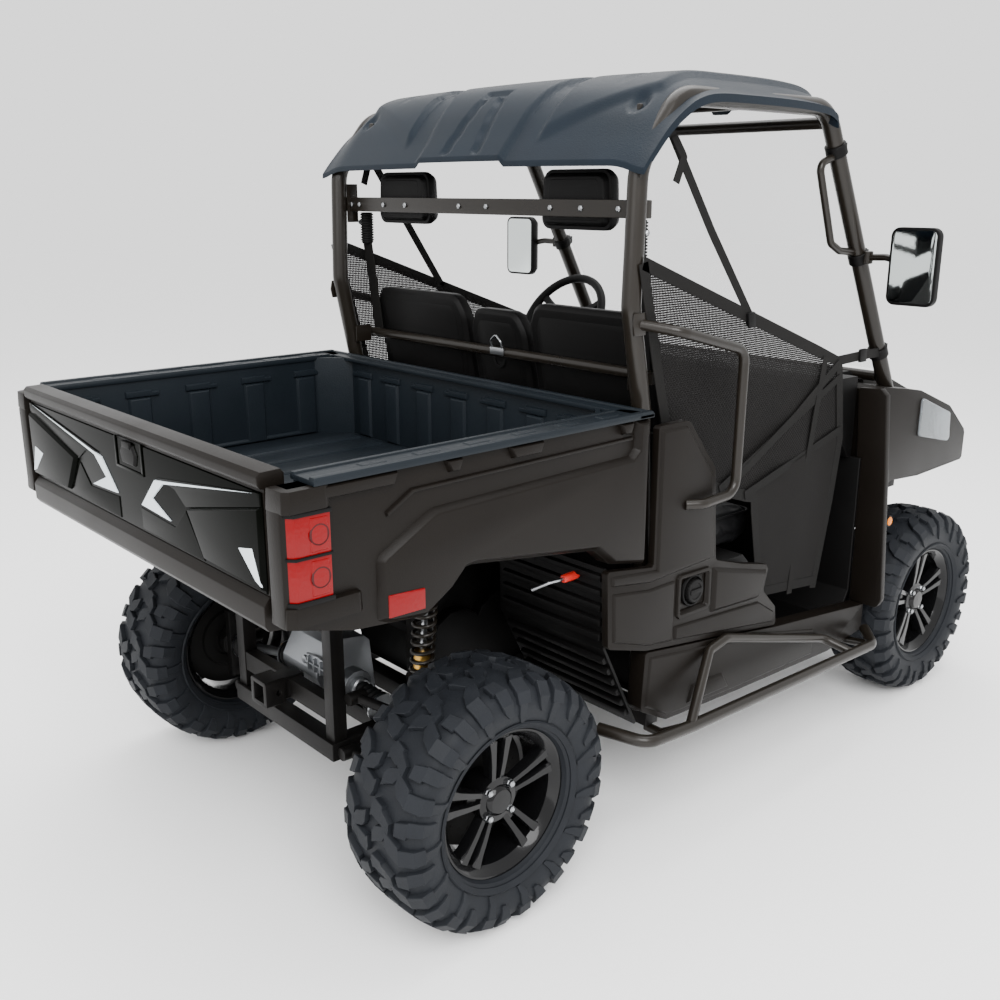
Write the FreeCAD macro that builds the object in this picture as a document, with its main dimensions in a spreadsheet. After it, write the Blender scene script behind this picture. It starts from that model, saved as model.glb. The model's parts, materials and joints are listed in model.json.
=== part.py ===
import FreeCAD, Part
import math
import os

import Sketcher
from FreeCAD import Vector

# Side-by-side utility vehicle in millimetres.
# +X is the vehicle's left, -Y is forward and +Z is up.
# The origin is on the ground, in the middle of the length and the width.

SIZES = {
    "wheelbase": 2000,
    "front_overhang": 450,
    "rear_overhang": 550,
    "front_track": 1310,
    "rear_track": 1280,
    "tyre_dia": 660,
    "front_tread": 230,
    "rear_tread": 280,
    "lug_deep": 16,
    "bead_dia": 356,
    "lip_tall": 12,
    "front_rim_wide": 170,
    "rear_rim_wide": 200,
    "rim_wall": 9,
    "lip_wide": 8,
    "hub_dia": 130,
    "hub_bore_dia": 50,
    "spoke_count": 5,
    "spoke_deep": 26,
    "kingpin_inset": 45,
    "ball_joint_dia": 20,
    "pin_gap": 0.3,
    "arm_tube_dia": 28,
    "shaft_dia": 28,
    "rail_spacing": 460,
    "rail_wide": 50,
    "rail_bottom": 300,
    "post_wide": 40,
    "deck_tall": 850,
    "front_tower": 800,
    "rack_dia": 24,
    "bed_wide": 1444,
    "bed_side_thick": 82,
    "bed_front": 435,
    "bed_floor": 955,
    "bed_rim": 1215,
    "tub_wall": 12,
    "rim_thick": 16,
    "gate_thick": 62,
    "gate_low": 890,
    "gate_top": 1224,
    "gate_hinge_rise": 15,
    "bed_hinge_rise": 30,
    "bed_hinge_back": 120,
    "hinge_pin_dia": 20,
    "cab_wide": 1440,
    "panel_thick": 22,
    "rocker_deep": 50,
    "cage_dia": 50,
    "cage_inset": 80,
    "cage_bend": 110,
    "roof_rail_tall": 1965,
    "cross_dia": 34,
    "bar_dia": 28,
    "roof_reach": 45,
    "roof_top": 2045,
    "roof_thick": 8,
    "roof_groove": 4,
    "floor_thick": 10,
    "seat_deck": 716,
    "seat_pitch": 748,
    "side_seat_wide": 462,
    "middle_seat_wide": 250,
    "glass_thick": 5,
    "steering_dia": 370,
    "step_wide": 1640,
    "step_dia": 34,
    "receiver_wide": 64,
    "receiver_bore": 51,
    "receiver_low": 398,
    "hitch_pin_dia": 16,
    "mirror_wide": 150,
    "mirror_tall": 225,
}


class Size:
    """A length that knows its number and its formula over the sheet's cells."""

    def __init__(self, text, number):
        self.text = text
        self.number = number

    def __add__(self, other):
        other = sized(other)
        return Size(f"({self.text} + {other.text})", self.number + other.number)

    def __sub__(self, other):
        other = sized(other)
        return Size(f"({self.text} - {other.text})", self.number - other.number)

    def __mul__(self, other):
        other = sized(other)
        return Size(f"({self.text} * {other.text})", self.number * other.number)

    def __truediv__(self, other):
        other = sized(other)
        return Size(f"({self.text} / {other.text})", self.number / other.number)

    def __neg__(self):
        return Size(f"(0 - {self.text})", -self.number)

    def __radd__(self, other):
        return sized(other) + self

    def __rsub__(self, other):
        return sized(other) - self

    def __rmul__(self, other):
        return sized(other) * self

    def __float__(self):
        return float(self.number)


def sized(value):
    """A plain number as a Size."""
    if isinstance(value, Size):
        return value
    return Size(f"({value:.6g})", float(value))


# A rounded corner becomes one flat below this radius, and flats of this turn above it
SMALL_RADIUS = 35
FLAT_TURN = 45
PIN_SIDES = 8
LUG_COUNT = 12

doc = FreeCAD.newDocument("utility_vehicle")
sheet = doc.addObject("Spreadsheet::Sheet", "Sizes")
cells = {}
for row, (alias, number) in enumerate(SIZES.items(), start=1):
    sheet.set(f"A{row}", str(number))
    sheet.setAlias(f"A{row}", alias)
    cells[alias] = Size(f"Sizes.{alias}", float(number))
doc.recompute()

# Places that many pieces share
rear_axle = (cells["wheelbase"] + cells["front_overhang"] - cells["rear_overhang"]) / 2
front_axle = rear_axle - cells["wheelbase"]
tail = rear_axle + cells["rear_overhang"]
nose = front_axle - cells["front_overhang"]
axle_tall = cells["tyre_dia"] / 2
rail_top = cells["rail_bottom"] + cells["rail_wide"]
rail_out = cells["rail_spacing"] / 2 + cells["rail_wide"] / 2
gap = cells["pin_gap"]

nodes = {}


def bind(thing, name, value):
    """Tie one property of an object to the sheet."""
    thing.setExpression(name, sized(value).text)


def new_body(name):
    return doc.addObject("PartDesign::Body", name)


def origin_part(body, role):
    for feature in body.Origin.OriginFeatures:
        if feature.Role == role:
            return feature
    raise ValueError(role)


def flat(corner):
    """A sketch corner as a vector, from its two numbers."""
    return Vector(float(corner[0]), float(corner[1]), 0)


def rounded(corners):
    """The corners of an outline, with each rounded one as short flats along its arc."""
    points = []
    for i, corner in enumerate(corners):
        radius = float(corner[2]) if len(corner) > 2 else 0
        if radius == 0:
            points.append((corner[0], corner[1]))
            continue
        here = flat(corner)
        back = (flat(corners[i - 1]) - here).normalize()
        ahead = (flat(corners[(i + 1) % len(corners)]) - here).normalize()
        half = back.getAngle(ahead) / 2
        turn = math.pi - 2 * half
        centre = here + (back + ahead).normalize() * (radius / math.sin(half))
        first = here + back * (radius / math.tan(half)) - centre
        last = here + ahead * (radius / math.tan(half)) - centre
        steps = 1 if radius < SMALL_RADIUS else max(2, round(math.degrees(turn) / FLAT_TURN))
        for step in range(steps + 1):
            share = step / steps
            place = (first * math.sin((1 - share) * turn) + last * math.sin(share * turn)) * (1 / math.sin(turn))
            shift = centre + place - here
            points.append((corner[0] + shift.x, corner[1] + shift.y))
    return points


def add_outline(sketch, corners):
    """Closed outline through (u, v) or (u, v, radius) corners, fully constrained."""
    points = rounded([tuple(sized(value) for value in corner[:2]) + tuple(corner[2:]) for corner in corners])
    spots = [flat(point) for point in points]
    lines = [sketch.addGeometry(Part.LineSegment(spots[i], spots[(i + 1) % len(spots)]), False)
             for i in range(len(spots))]
    for i, point in enumerate(points):
        sketch.addConstraint(Sketcher.Constraint("Coincident", lines[i - 1], 2, lines[i], 1))
        pin_point(sketch, lines[i], 1, point)


def keep(sketch, constraint, value):
    """Add a constraint and tie its value to the sheet."""
    index = sketch.addConstraint(constraint)
    bind(sketch, f"Constraints[{index}]", value)


def pin_point(sketch, geometry, point, corner):
    """Fix one point of the sketch by its two coordinates."""
    u, v = corner[0], corner[1]
    keep(sketch, Sketcher.Constraint("DistanceX", -1, 1, geometry, point, float(u)), u)
    keep(sketch, Sketcher.Constraint("DistanceY", -1, 1, geometry, point, float(v)), v)


def add_circle(sketch, u, v, radius):
    circle = Part.Circle(Vector(float(u), float(v), 0), Vector(0, 0, 1), float(radius))
    ring = sketch.addGeometry(circle, False)
    pin_point(sketch, ring, 3, (u, v))
    keep(sketch, Sketcher.Constraint("Radius", ring, float(radius)), radius)


def new_sketch(body, plane, offset, outlines):
    """Sketch on a plane of the body. An outline is a corner list, or ("ring", u, v, radius)."""
    sketch = body.newObject("Sketcher::SketchObject", f"{body.Name}_outline")
    sketch.AttachmentSupport = [(origin_part(body, f"{plane}_Plane"), "")]
    sketch.MapMode = "FlatFace"
    away = -sized(offset) if plane == "XZ" else sized(offset)
    bind(sketch, "AttachmentOffset.Base.z", away)
    for outline in outlines:
        if outline[0] == "ring":
            add_circle(sketch, *outline[1:])
        else:
            add_outline(sketch, outline)
    return sketch


def layer(body, kind, plane, low, high, outlines):
    """Pad or pocket between two places along the plane's own axis."""
    start = high if plane == "XZ" else low
    sketch = new_sketch(body, plane, start, outlines)
    feature = body.newObject(f"PartDesign::{kind}", f"{body.Name}_{kind.lower()}")
    feature.Profile = sketch
    bind(feature, "Length", sized(high) - low)
    feature.Reversed = kind == "Pocket"
    return feature


def pad(body, plane, low, high, *outlines):
    return layer(body, "Pad", plane, low, high, outlines)


def pocket(body, plane, low, high, *outlines):
    """Cut between two places, and see that it removes something."""
    doc.recompute()
    before = body.Shape.Volume
    feature = layer(body, "Pocket", plane, low, high, outlines)
    doc.recompute()
    if body.Shape.Volume > before - 1:
        raise ValueError(f"a pocket in {body.Name} cuts nothing")
    return feature


def repeat_round(body, feature, count):
    """Repeat a feature about the body's X axis."""
    doc.recompute()
    pattern = body.newObject("PartDesign::PolarPattern", f"{body.Name}_repeat")
    pattern.Originals = [feature]
    pattern.Axis = (origin_part(body, "X_Axis"), [""])
    pattern.Angle = 360
    bind(pattern, "Occurrences", count)
    body.Tip = pattern
    return pattern


def spot(x, y, z):
    """A place in space from three sizes."""
    return Vector(float(x), float(y), float(z))


def rod(first, last, diameter):
    """Round bar between two places."""
    radius = float(diameter) / 2
    return Part.makeCylinder(radius, first.distanceToPoint(last), first, last - first)


def regular(reach, count, first):
    """Corners of a regular outline about the origin, the first at an angle."""
    angles = [first + 2 * math.pi * k / count for k in range(count)]
    return [(sized(reach) * math.cos(a), sized(reach) * math.sin(a)) for a in angles]


def flatted(radius, count, u=0, v=0):
    """Corners of a regular outline whose flats lie at a radius from its middle."""
    reach = sized(radius) / math.cos(math.pi / count)
    return [(u + x, v + y) for x, y in regular(reach, count, math.pi / count)]


def section(centre, way, side, radius, count):
    """Corners of a regular section across a direction, with one flat facing the given side."""
    across = (side - way * side.dot(way)).normalize()
    other = way.cross(across)
    reach = radius / math.cos(math.pi / count)
    angles = [(k + 0.5) * 2 * math.pi / count for k in range(count)]
    return [centre + across * (reach * math.cos(a)) + other * (reach * math.sin(a)) for a in angles]


def faced(corner_lists):
    """Solid from flat faces, each a list of corners."""
    faces = [Part.Face(Part.makePolygon(corners + corners[:1])) for corners in corner_lists]
    solid = Part.Solid(Part.Shell(faces))
    if solid.Volume < 0:
        solid.reverse()
    return solid


def walls_between(rings):
    """Four-cornered faces between neighbouring rings of corners."""
    count = len(rings[0])
    return [[near[k], near[(k + 1) % count], far[(k + 1) % count], far[k]]
            for near, far in zip(rings, rings[1:]) for k in range(count)]


def sides_for(diameter):
    """Number of flats that a bar of this diameter gets."""
    return 8 if float(diameter) > 34 else 6


def corner_reach(diameter):
    """How far the corners of a bar of this diameter reach from its middle."""
    return float(diameter) / 2 / math.cos(math.pi / sides_for(diameter))


def bent_bar(places, diameter, bend, count=0):
    """Many-sided bar along straight runs, with each bend in short mitred runs."""
    path = [places[0]]
    for before, corner, after in zip(places, places[1:], places[2:]):
        back = (before - corner).normalize()
        ahead = (after - corner).normalize()
        half = back.getAngle(ahead) / 2
        turn = math.pi - 2 * half
        reach = float(bend) / math.tan(half)
        centre = corner + (back + ahead).normalize() * (float(bend) / math.sin(half))
        first, last = corner + back * reach - centre, corner + ahead * reach - centre
        steps = max(1, round(math.degrees(turn) / FLAT_TURN))
        for step in range(steps + 1):
            share = step / steps
            path.append(centre + (first * math.sin((1 - share) * turn) + last * math.sin(share * turn))
                        * (1 / math.sin(turn)))
    path.append(places[-1])
    ways = [(b - a).normalize() for a, b in zip(path, path[1:])]
    side = Vector(1, 0, 0) if abs(ways[0].x) < 0.9 else Vector(0, 0, 1)
    count = count or sides_for(diameter)
    rings = [section(path[0], ways[0], side, float(diameter) / 2, count)]
    for place, before, after in zip(path[1:], ways, ways[1:] + ways[-1:]):
        mitre = (before + after).normalize()
        rings.append([point + before * ((place - point).dot(mitre) / before.dot(mitre)) for point in rings[-1]])
    return faced([rings[0][::-1], rings[-1]] + walls_between(rings))


def bar(first, last, diameter, count=0):
    """Straight many-sided bar."""
    return bent_bar([first, last], diameter, 0, count)


def pin(first, last, diameter):
    """Many-sided pin whose corners reach its diameter."""
    return bar(first, last, float(diameter) * math.cos(math.pi / PIN_SIDES), PIN_SIDES)


def bore(first, last, diameter):
    """Form of a many-sided hole whose flats keep its diameter."""
    return bar(first, last, diameter, PIN_SIDES)


def taper(first, last, first_dia, last_dia, count):
    """Many-sided cone between two places."""
    way = (last - first).normalize()
    side = Vector(0, 0, 1)
    rings = [section(first, way, side, first_dia / 2, count), section(last, way, side, last_dia / 2, count)]
    return faced([rings[0][::-1], rings[1]] + walls_between(rings))


def turned(profile, count):
    """Many-sided turned solid about X from a closed (x, radius) profile."""
    rings = []
    for k in range(count + 1):
        angle = 2 * math.pi * (k % count) / count
        rings.append([spot(x, r * math.cos(angle), r * math.sin(angle)) for x, r in profile])
    return faced(walls_between(rings))


def block(low, high):
    """Box between two opposite corners."""
    reach = high - low
    return Part.makeBox(reach.x, reach.y, reach.z, low)


def flip(shape):
    """The same shape on the vehicle's other side."""
    return shape.mirror(Vector(0, 0, 0), Vector(1, 0, 0))


def welded(shapes):
    """Touching shapes as one solid."""
    return shapes[0].multiFuse(shapes[1:]).removeSplitter()


def plain_node(name, shapes):
    """A sub-part made directly from solids."""
    feature = doc.addObject("Part::Feature", name)
    feature.Label = name
    feature.Shape = shapes[0] if len(shapes) == 1 else Part.makeCompound(shapes)
    feature.Placement = FreeCAD.Placement()
    nodes[name] = feature
    return feature


def node(name, feature):
    """Name a finished feature as a sub-part."""
    feature.Label = name
    nodes[name] = feature
    return feature


def pair(name, right):
    """A sub-part of two: the given right-hand piece and its mirror image."""
    mirrored = doc.addObject("Part::Mirroring", f"{name}_left")
    mirrored.Source = right
    mirrored.Base = Vector(0, 0, 0)
    mirrored.Normal = Vector(1, 0, 0)
    both = doc.addObject("Part::Compound", f"{name}_pair")
    both.Links = [right, mirrored]
    return node(name, both)


def group(name, features):
    """A sub-part of several pieces that do not touch."""
    several = doc.addObject("Part::Compound", f"{name}_group")
    several.Links = features
    return node(name, several)


# Wheels

def make_tyre(tread, rim_wide):
    """Tyre as rings of corners about the axle, with shoulder lugs that alternate from side to side."""
    bead, outer = float(cells["bead_dia"]) / 2, float(cells["tyre_dia"]) / 2
    seat = float(rim_wide / 2 - cells["lip_wide"])
    half = float(tread) / 2
    root = outer - float(cells["lug_deep"])

    def flank(lug):
        """Corners of one side from the bead to the crown, over a lug or in a groove."""
        side, crown = ((half, outer - 34), (half - 24, outer)) if lug else ((half - 12, outer - 46), (half - 32, root))
        return [(seat, bead), (seat, bead + 14), (half, bead + 62), side, crown, (16, outer if lug else root)]

    walls = []
    rings = []
    for pitch in range(LUG_COUNT):
        for part, lug in ((0, True), (0.42, True), (0.5, False), (0.92, False)):
            angle = 2 * math.pi * (pitch + part) / LUG_COUNT - math.pi / 2
            profile = flank(lug) + [(-x, r) for x, r in reversed(flank(not lug))]
            rings.append([Vector(x, r * math.cos(angle), r * math.sin(angle)) for x, r in profile])
    for index, near in enumerate(rings):
        quads = walls_between([near, rings[(index + 1) % len(rings)]])
        if index % 2 == 0:
            walls += quads
        else:
            walls += [corners for a, b, c, d in quads for corners in ([a, b, c], [a, c, d])]
    return faced(walls)


def make_rim(name, rim_wide):
    """Alloy rim: barrel and lips, then a hub that carries pairs of spoke prongs."""
    body = new_body(name)
    bead = cells["bead_dia"] / 2
    lip = bead + cells["lip_tall"]
    half = rim_wide / 2
    seat = half - cells["lip_wide"]
    inner = bead - cells["rim_wall"]
    sides = 2 * LUG_COUNT

    def turned_outline(radius):
        return regular(radius, sides, -math.pi / 2)

    pad(body, "YZ", -half, half, turned_outline(bead))
    pad(body, "YZ", -half, -seat, turned_outline(lip))
    pad(body, "YZ", seat, half, turned_outline(lip))
    pocket(body, "YZ", -half - 1, half + 1, turned_outline(inner))
    face = half - 18
    hub = cells["hub_dia"] / 2
    pad(body, "YZ", -20, face, flatted(hub, 10))
    pad(body, "YZ", face - 1, face + 12, flatted(hub - 27, 10))
    reach = inner + 3
    for side in (-1, 1):
        prong = pad(body, "YZ", face - cells["spoke_deep"], face, [
            (side * 7, hub - 12), (side * 30, hub - 16), (side * 54, reach - 10), (side * 24, reach),
        ])
        repeat_round(body, prong, cells["spoke_count"])
    pocket(body, "YZ", -30, 18, flatted(cells["hub_bore_dia"] / 2, PIN_SIDES))
    return body


def place_wheel(name, body, track, axle, side):
    """Set a wheel piece on its axle, outboard face outwards."""
    bind(body, "Placement.Base.x", track / 2 * side)
    bind(body, "Placement.Base.y", axle)
    bind(body, "Placement.Base.z", axle_tall)
    if side < 0:
        body.Placement.Rotation = FreeCAD.Rotation(Vector(0, 0, 1), 180)
        bind(body, "Placement.Rotation.Angle", 180)
    node(name, body)


WHEELS = (
    ("front_left", "front_tread", "front_rim_wide", "front_track", front_axle, 1),
    ("front_right", "front_tread", "front_rim_wide", "front_track", front_axle, -1),
    ("rear_left", "rear_tread", "rear_rim_wide", "rear_track", rear_axle, 1),
    ("rear_right", "rear_tread", "rear_rim_wide", "rear_track", rear_axle, -1),
)
for corner, tread, rim_wide, track, axle, side in WHEELS:
    tyre = doc.addObject("Part::Feature", f"tyre_{corner}_form")
    tyre.Shape = make_tyre(cells[tread], cells[rim_wide])
    place_wheel(f"tyre_{corner}", tyre, cells[track], axle, side)
    rim = make_rim(f"rim_{corner}_form", cells[rim_wide])
    place_wheel(f"rim_{corner}", rim, cells[track], axle, side)

# Steering knuckles, hubs, arms, shafts and shocks

stub_dia = cells["hub_bore_dia"] - 2 * gap
kingpin = cells["front_track"] / 2 - cells["kingpin_inset"]
low_ball = sized(246)
high_ball = sized(430)
rack_tall = rail_top + cells["rack_dia"] / 2 + gap
rack_y = front_axle - 96
post_dia = 40
tie_eye_dia = 30
tie_eye_inset = 26


def make_knuckle(side):
    """Upright with ball pins at both ends and the stub that the wheel turns on."""
    x = kingpin * side
    post = bar(spot(x, front_axle, low_ball + 24), spot(x, front_axle, high_ball - 24), post_dia)
    low_pin = rod(spot(x, front_axle, low_ball - 14), spot(x, front_axle, low_ball + 24),
                  cells["ball_joint_dia"])
    high_pin = pin(spot(x, front_axle, high_ball - 24), spot(x, front_axle, high_ball + 14),
                   cells["ball_joint_dia"])
    tip = (cells["front_track"] / 2 + 10) * side
    stub = rod(spot(x, front_axle, axle_tall), spot(tip, front_axle, axle_tall), stub_dia)
    arm_end = spot(x - side * tie_eye_inset, rack_y, rack_tall)
    arm = bar(spot(x, front_axle, rack_tall), arm_end, 22)
    eye = bar(arm_end - Vector(0, 0, 12), arm_end + Vector(0, 0, 12), tie_eye_dia)
    return welded([post, low_pin, high_pin, stub, arm, eye])


plain_node("knuckle_left", [make_knuckle(1)])
plain_node("knuckle_right", [make_knuckle(-1)])


def make_rear_upright():
    """Fixed upright that carries one rear stub."""
    x = cells["rear_track"] / 2 - 75
    plate = block(spot(-x - 5, rear_axle - 35, low_ball - 20), spot(-x + 25, rear_axle + 35, high_ball + 20))
    stub = rod(spot(-x, rear_axle, axle_tall), spot(-cells["rear_track"] / 2 - 10, rear_axle, axle_tall), stub_dia)
    boss = bar(spot(-x, rear_axle, axle_tall), spot(-x - 40, rear_axle, axle_tall), 92)
    return welded([plate, boss, stub])


upright = make_rear_upright()
plain_node("rear_uprights", [upright, flip(upright)])


tube = cells["arm_tube_dia"]
sleeve = tube + 8
low_pivot = (rail_out + sleeve / 2 + gap, sized(325), 130)
high_pivot = (cells["rail_spacing"] / 2 + cells["post_wide"] / 2 + sleeve / 2 + gap, sized(470), 100)
shock_pin = 16
shock_eye_dia = 34


def make_arm(axle, outer_x, outer_z, pivot, eye_dia):
    """One wishbone on the right: two tubes from the frame to an outer eye."""
    inner_x, inner_z, spread = pivot
    outer = spot(-outer_x, axle, outer_z)
    pieces = [bar(outer - Vector(0, 0, 12), outer + Vector(0, 0, 12), eye_dia)]
    for way in (-1, 1):
        inner = spot(-inner_x, axle + way * spread, inner_z)
        pieces.append(bar(inner, outer, tube, 6))
        pieces.append(bar(inner - Vector(0, 26, 0), inner + Vector(0, 26, 0), sleeve, 6))
    return pieces


def shock_foot(axle, outer_x, x):
    """Place of the shock's lower pin between an upper arm's tubes, and the tubes' spread there."""
    inner_x, inner_z, spread = high_pivot
    part_way = (outer_x - x) / (outer_x - inner_x)
    return spot(-x, axle, high_ball + (inner_z - high_ball) * part_way), float(spread * part_way)


bore_dia = cells["ball_joint_dia"] + 2 * gap
arm_eye = 46
rear_eye_x = cells["rear_track"] / 2 - 100 - arm_eye / 2 - gap
arms = []
shocks = []
for axle, outer_x, foot_x, head_x, head_z in (
        (front_axle, kingpin, 455, 352, cells["front_tower"]), (rear_axle, rear_eye_x, 405, 448, cells["deck_tall"])):
    foot, spread = shock_foot(axle, outer_x, foot_x)
    reach = Vector(0, spread, 0)
    low_arm = welded(make_arm(axle, outer_x, low_ball, low_pivot, arm_eye))
    high_arm = welded(make_arm(axle, outer_x, high_ball, high_pivot, arm_eye)
                      + [pin(foot - reach, foot + reach, shock_pin)])
    if axle is front_axle:
        through = bore(spot(-kingpin, axle, low_ball - 40), spot(-kingpin, axle, high_ball + 40), bore_dia)
        low_arm, high_arm = low_arm.cut(through), high_arm.cut(through)
    arms += [low_arm, high_arm]
    shocks.append((foot, spot(-head_x, axle, head_z - 30 - corner_reach(shock_eye_dia) - gap)))
plain_node("suspension_arms", arms + [flip(arm) for arm in arms])


def make_shaft(axle, inner_x, boot_x, outer_x):
    """Drive shaft with a bellows boot at each end, on the right."""
    inner = spot(-inner_x, axle, output_tall)
    outer = spot(-boot_x, axle, axle_tall)
    way = (outer - inner).normalize()
    pieces = [bar(inner + way * 6, outer, cells["shaft_dia"])]
    pieces.append(taper(inner + way * 12, inner + way * 107, 44, 84, 8))
    pieces.append(taper(outer - way * 97, outer - way * 2, 44, 84, 8))
    pieces.append(bar(spot(-inner_x, axle, output_tall), spot(-inner_x - 20, axle, output_tall), 60, 8))
    pieces.append(bar(outer, spot(-outer_x, axle, axle_tall), cells["shaft_dia"]))
    return welded(pieces)


output_tall = axle_tall + 90
output_x = sized(130)
shafts = [make_shaft(front_axle, output_x + gap, 555, kingpin - corner_reach(post_dia) - gap),
          make_shaft(rear_axle, output_x + gap, 522, cells["rear_track"] / 2 - 100 - gap)]
plain_node("half_shafts", shafts + [flip(shaft) for shaft in shafts])


def make_shock(foot, head):
    """Coil-over shock: body, rod and the spring's outer form."""
    way = (head - foot).normalize()
    length = foot.distanceToPoint(head)
    eye = Vector(0, 14, 0)
    body = welded([
        bar(head - way * 60, head, 24),
        bar(foot, foot + way * (length * 0.4), 46, 6),
        bar(foot + way * (length * 0.28), head - way * 40, 66, 8),
        bar(foot - eye, foot + eye, shock_eye_dia),
        bar(head - eye, head + eye, shock_eye_dia),
    ])
    return body.cut(bore(foot - eye * 2, foot + eye * 2, shock_pin + 2 * gap))


shocks = [make_shock(foot, head) for foot, head in shocks]
plain_node("shocks", shocks + [flip(shock) for shock in shocks])

rack_bar = bar(spot(-300, rack_y, rack_tall), spot(300, rack_y, rack_tall), cells["rack_dia"], 8)
tie_end = kingpin - tie_eye_inset - corner_reach(tie_eye_dia) - 1
tie_left = bar(spot(290, rack_y, rack_tall), spot(tie_end, rack_y, rack_tall), 18)
plain_node("steering_rack", [welded([rack_bar, tie_left, flip(tie_left)])])


# Chassis frame

def beam(first, last, low, high, y, deep):
    """Cross beam between two X places."""
    return block(spot(first, y, low), spot(last, sized(y) + deep, high))


def both_sides(shape):
    return [shape, flip(shape)]


half_spacing = cells["rail_spacing"] / 2
post = cells["post_wide"]


def make_frame():
    """Two rails with their cross beams and the outriggers under the cab."""
    low, high = cells["rail_bottom"], rail_top
    rail_half = cells["rail_wide"] / 2
    front = front_axle - 230
    back = rear_axle + 170
    pieces = both_sides(block(spot(-half_spacing - rail_half, front, low), spot(-half_spacing + rail_half, back, high)))
    for y in (front, front_axle - 10, front_axle + 190, front_axle + 620,
              rear_axle - 760, rear_axle - 230, rear_axle - 60, back - 50):
        pieces.append(beam(-half_spacing, half_spacing, low, high, y, 50))
    for y in (front_axle + 390, rear_axle - 640):
        pieces += both_sides(beam(-outrigger, -half_spacing, low, high, y, 50))
    return welded(pieces)


def tower(first, last, top):
    """Four posts on the rails with a ring of beams on top."""
    pieces = []
    for y in (first, last - post):
        pieces += both_sides(block(spot(-half_spacing - post / 2, y, rail_top),
                                   spot(-half_spacing + post / 2, y + post, top)))
        pieces.append(beam(-half_spacing, half_spacing, top - 30, top, y, post))
    pieces += both_sides(block(spot(-half_spacing - post / 2, first, top - 30),
                               spot(-half_spacing + post / 2, last, top)))
    return pieces


def make_front_tower():
    """Posts over the front axle, with the shock mounts, the pillars' feet and the rack's housing."""
    top = cells["front_tower"]
    pieces = tower(front_axle - 150, front_axle + 150, top)
    pieces += both_sides(beam(-372, -half_spacing, top - 30, top, front_axle - 25, 50))
    foot = pillar_y(1040) - 30
    pieces += both_sides(beam(-cage_half - 28, -half_spacing, top - 30, top, foot, 60))
    pieces += both_sides(block(spot(-half_spacing - post / 2, front_axle + 110, top - 30),
                               spot(-half_spacing + post / 2, foot + 60, top)))
    reach = half_spacing - post / 2
    housing = bar(spot(-reach, rack_y, rack_tall), spot(reach, rack_y, rack_tall), 52, 8)
    clear = bar(spot(-reach - 20, rack_y, rack_tall), spot(reach + 20, rack_y, rack_tall),
                cells["rack_dia"] + 2 * gap, 8)
    over_rails = both_sides(block(spot(-reach - 1, rack_y - 40, rail_top - 50),
                                  spot(-half_spacing + cells["rail_wide"] / 2, rack_y + 40, rail_top)))
    return welded(pieces + [housing.cut(Part.makeCompound([clear] + over_rails))])


def make_rear_tower():
    """Posts over the rear axle, with the shock mounts, the bed hinge's ears and the bed's rests."""
    top = cells["deck_tall"]
    pieces = tower(rear_axle - 150, rear_axle + 160, top)
    pieces += both_sides(beam(-476, -half_spacing, top - 30, top, rear_axle - 28, 56))
    pieces += both_sides(beam(-332, -half_spacing, top - 30, top, bed_hinge_y - 24, 48))
    for inner, outer in ((-269.5, -257.5), (-322.5, -310.5)):
        pieces += both_sides(block(spot(inner, bed_hinge_y - 20, top - 10),
                                   spot(outer, bed_hinge_y + 20, bed_hinge_z + 18)))
    pieces += both_sides(rod(spot(-257.5, bed_hinge_y, bed_hinge_z), spot(-322.5, bed_hinge_y, bed_hinge_z),
                             cells["hinge_pin_dia"]))
    pieces += both_sides(beam(-312, -half_spacing, top - 30, top, rear_axle - 150, post))
    pieces += both_sides(block(spot(-306, rear_axle - 146, top), spot(-274, rear_axle - 114, channel_low - gap)))
    return welded(pieces)


cab_half = cells["cab_wide"] / 2
cage_half = cab_half - cells["cage_inset"]
outrigger = cab_half - cells["rocker_deep"] - gap
floor_top_bed = cells["bed_floor"]
channel_low = floor_top_bed - 15 - gap - 44
bed_hinge_y = rear_axle + cells["bed_hinge_back"]
bed_hinge_z = cells["deck_tall"] + cells["bed_hinge_rise"]


def pillar_y(z):
    """Y of the windshield pillar's axis at a height."""
    return front_axle + 690 - (1958 - sized(z)) * 457 / 819


plain_node("frame", [make_frame()])
plain_node("front_tower", [make_front_tower()])
plain_node("rear_tower", [make_rear_tower()])

# Hitch receiver with its pin bore

receiver = new_body("hitch_receiver_form")
half = cells["receiver_wide"] / 2
centre_z = cells["receiver_low"] + half
pad(receiver, "XZ", rear_axle + 176, rear_axle + 236, [
    (-half - 8, centre_z - half - 6, 6), (half + 8, centre_z - half - 6, 6),
    (half + 8, centre_z + half + 6, 6), (-half - 8, centre_z + half + 6, 6)])
pad(receiver, "XZ", rear_axle + 112, rear_axle + 236, [
    (-half, centre_z - half, 5), (half, centre_z - half, 5),
    (half, centre_z + half, 5), (-half, centre_z + half, 5)])
brace = cells["rail_spacing"] / 2 - cells["post_wide"] / 2 - gap
pad(receiver, "XZ", rear_axle + 122, rear_axle + 158, [
    (-brace, centre_z - 28), (brace, centre_z - 28), (brace, centre_z + 28), (-brace, centre_z + 28)])
mouth = cells["receiver_bore"] / 2
pocket(receiver, "XZ", rear_axle + 50, rear_axle + 250, [
    (-mouth, centre_z - mouth), (mouth, centre_z - mouth), (mouth, centre_z + mouth), (-mouth, centre_z + mouth)])
pocket(receiver, "YZ", -60, 60, flatted(cells["hitch_pin_dia"] / 2, 12, rear_axle + 196, centre_z))
node("hitch_receiver", receiver)

# Engine and gearcase

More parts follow.
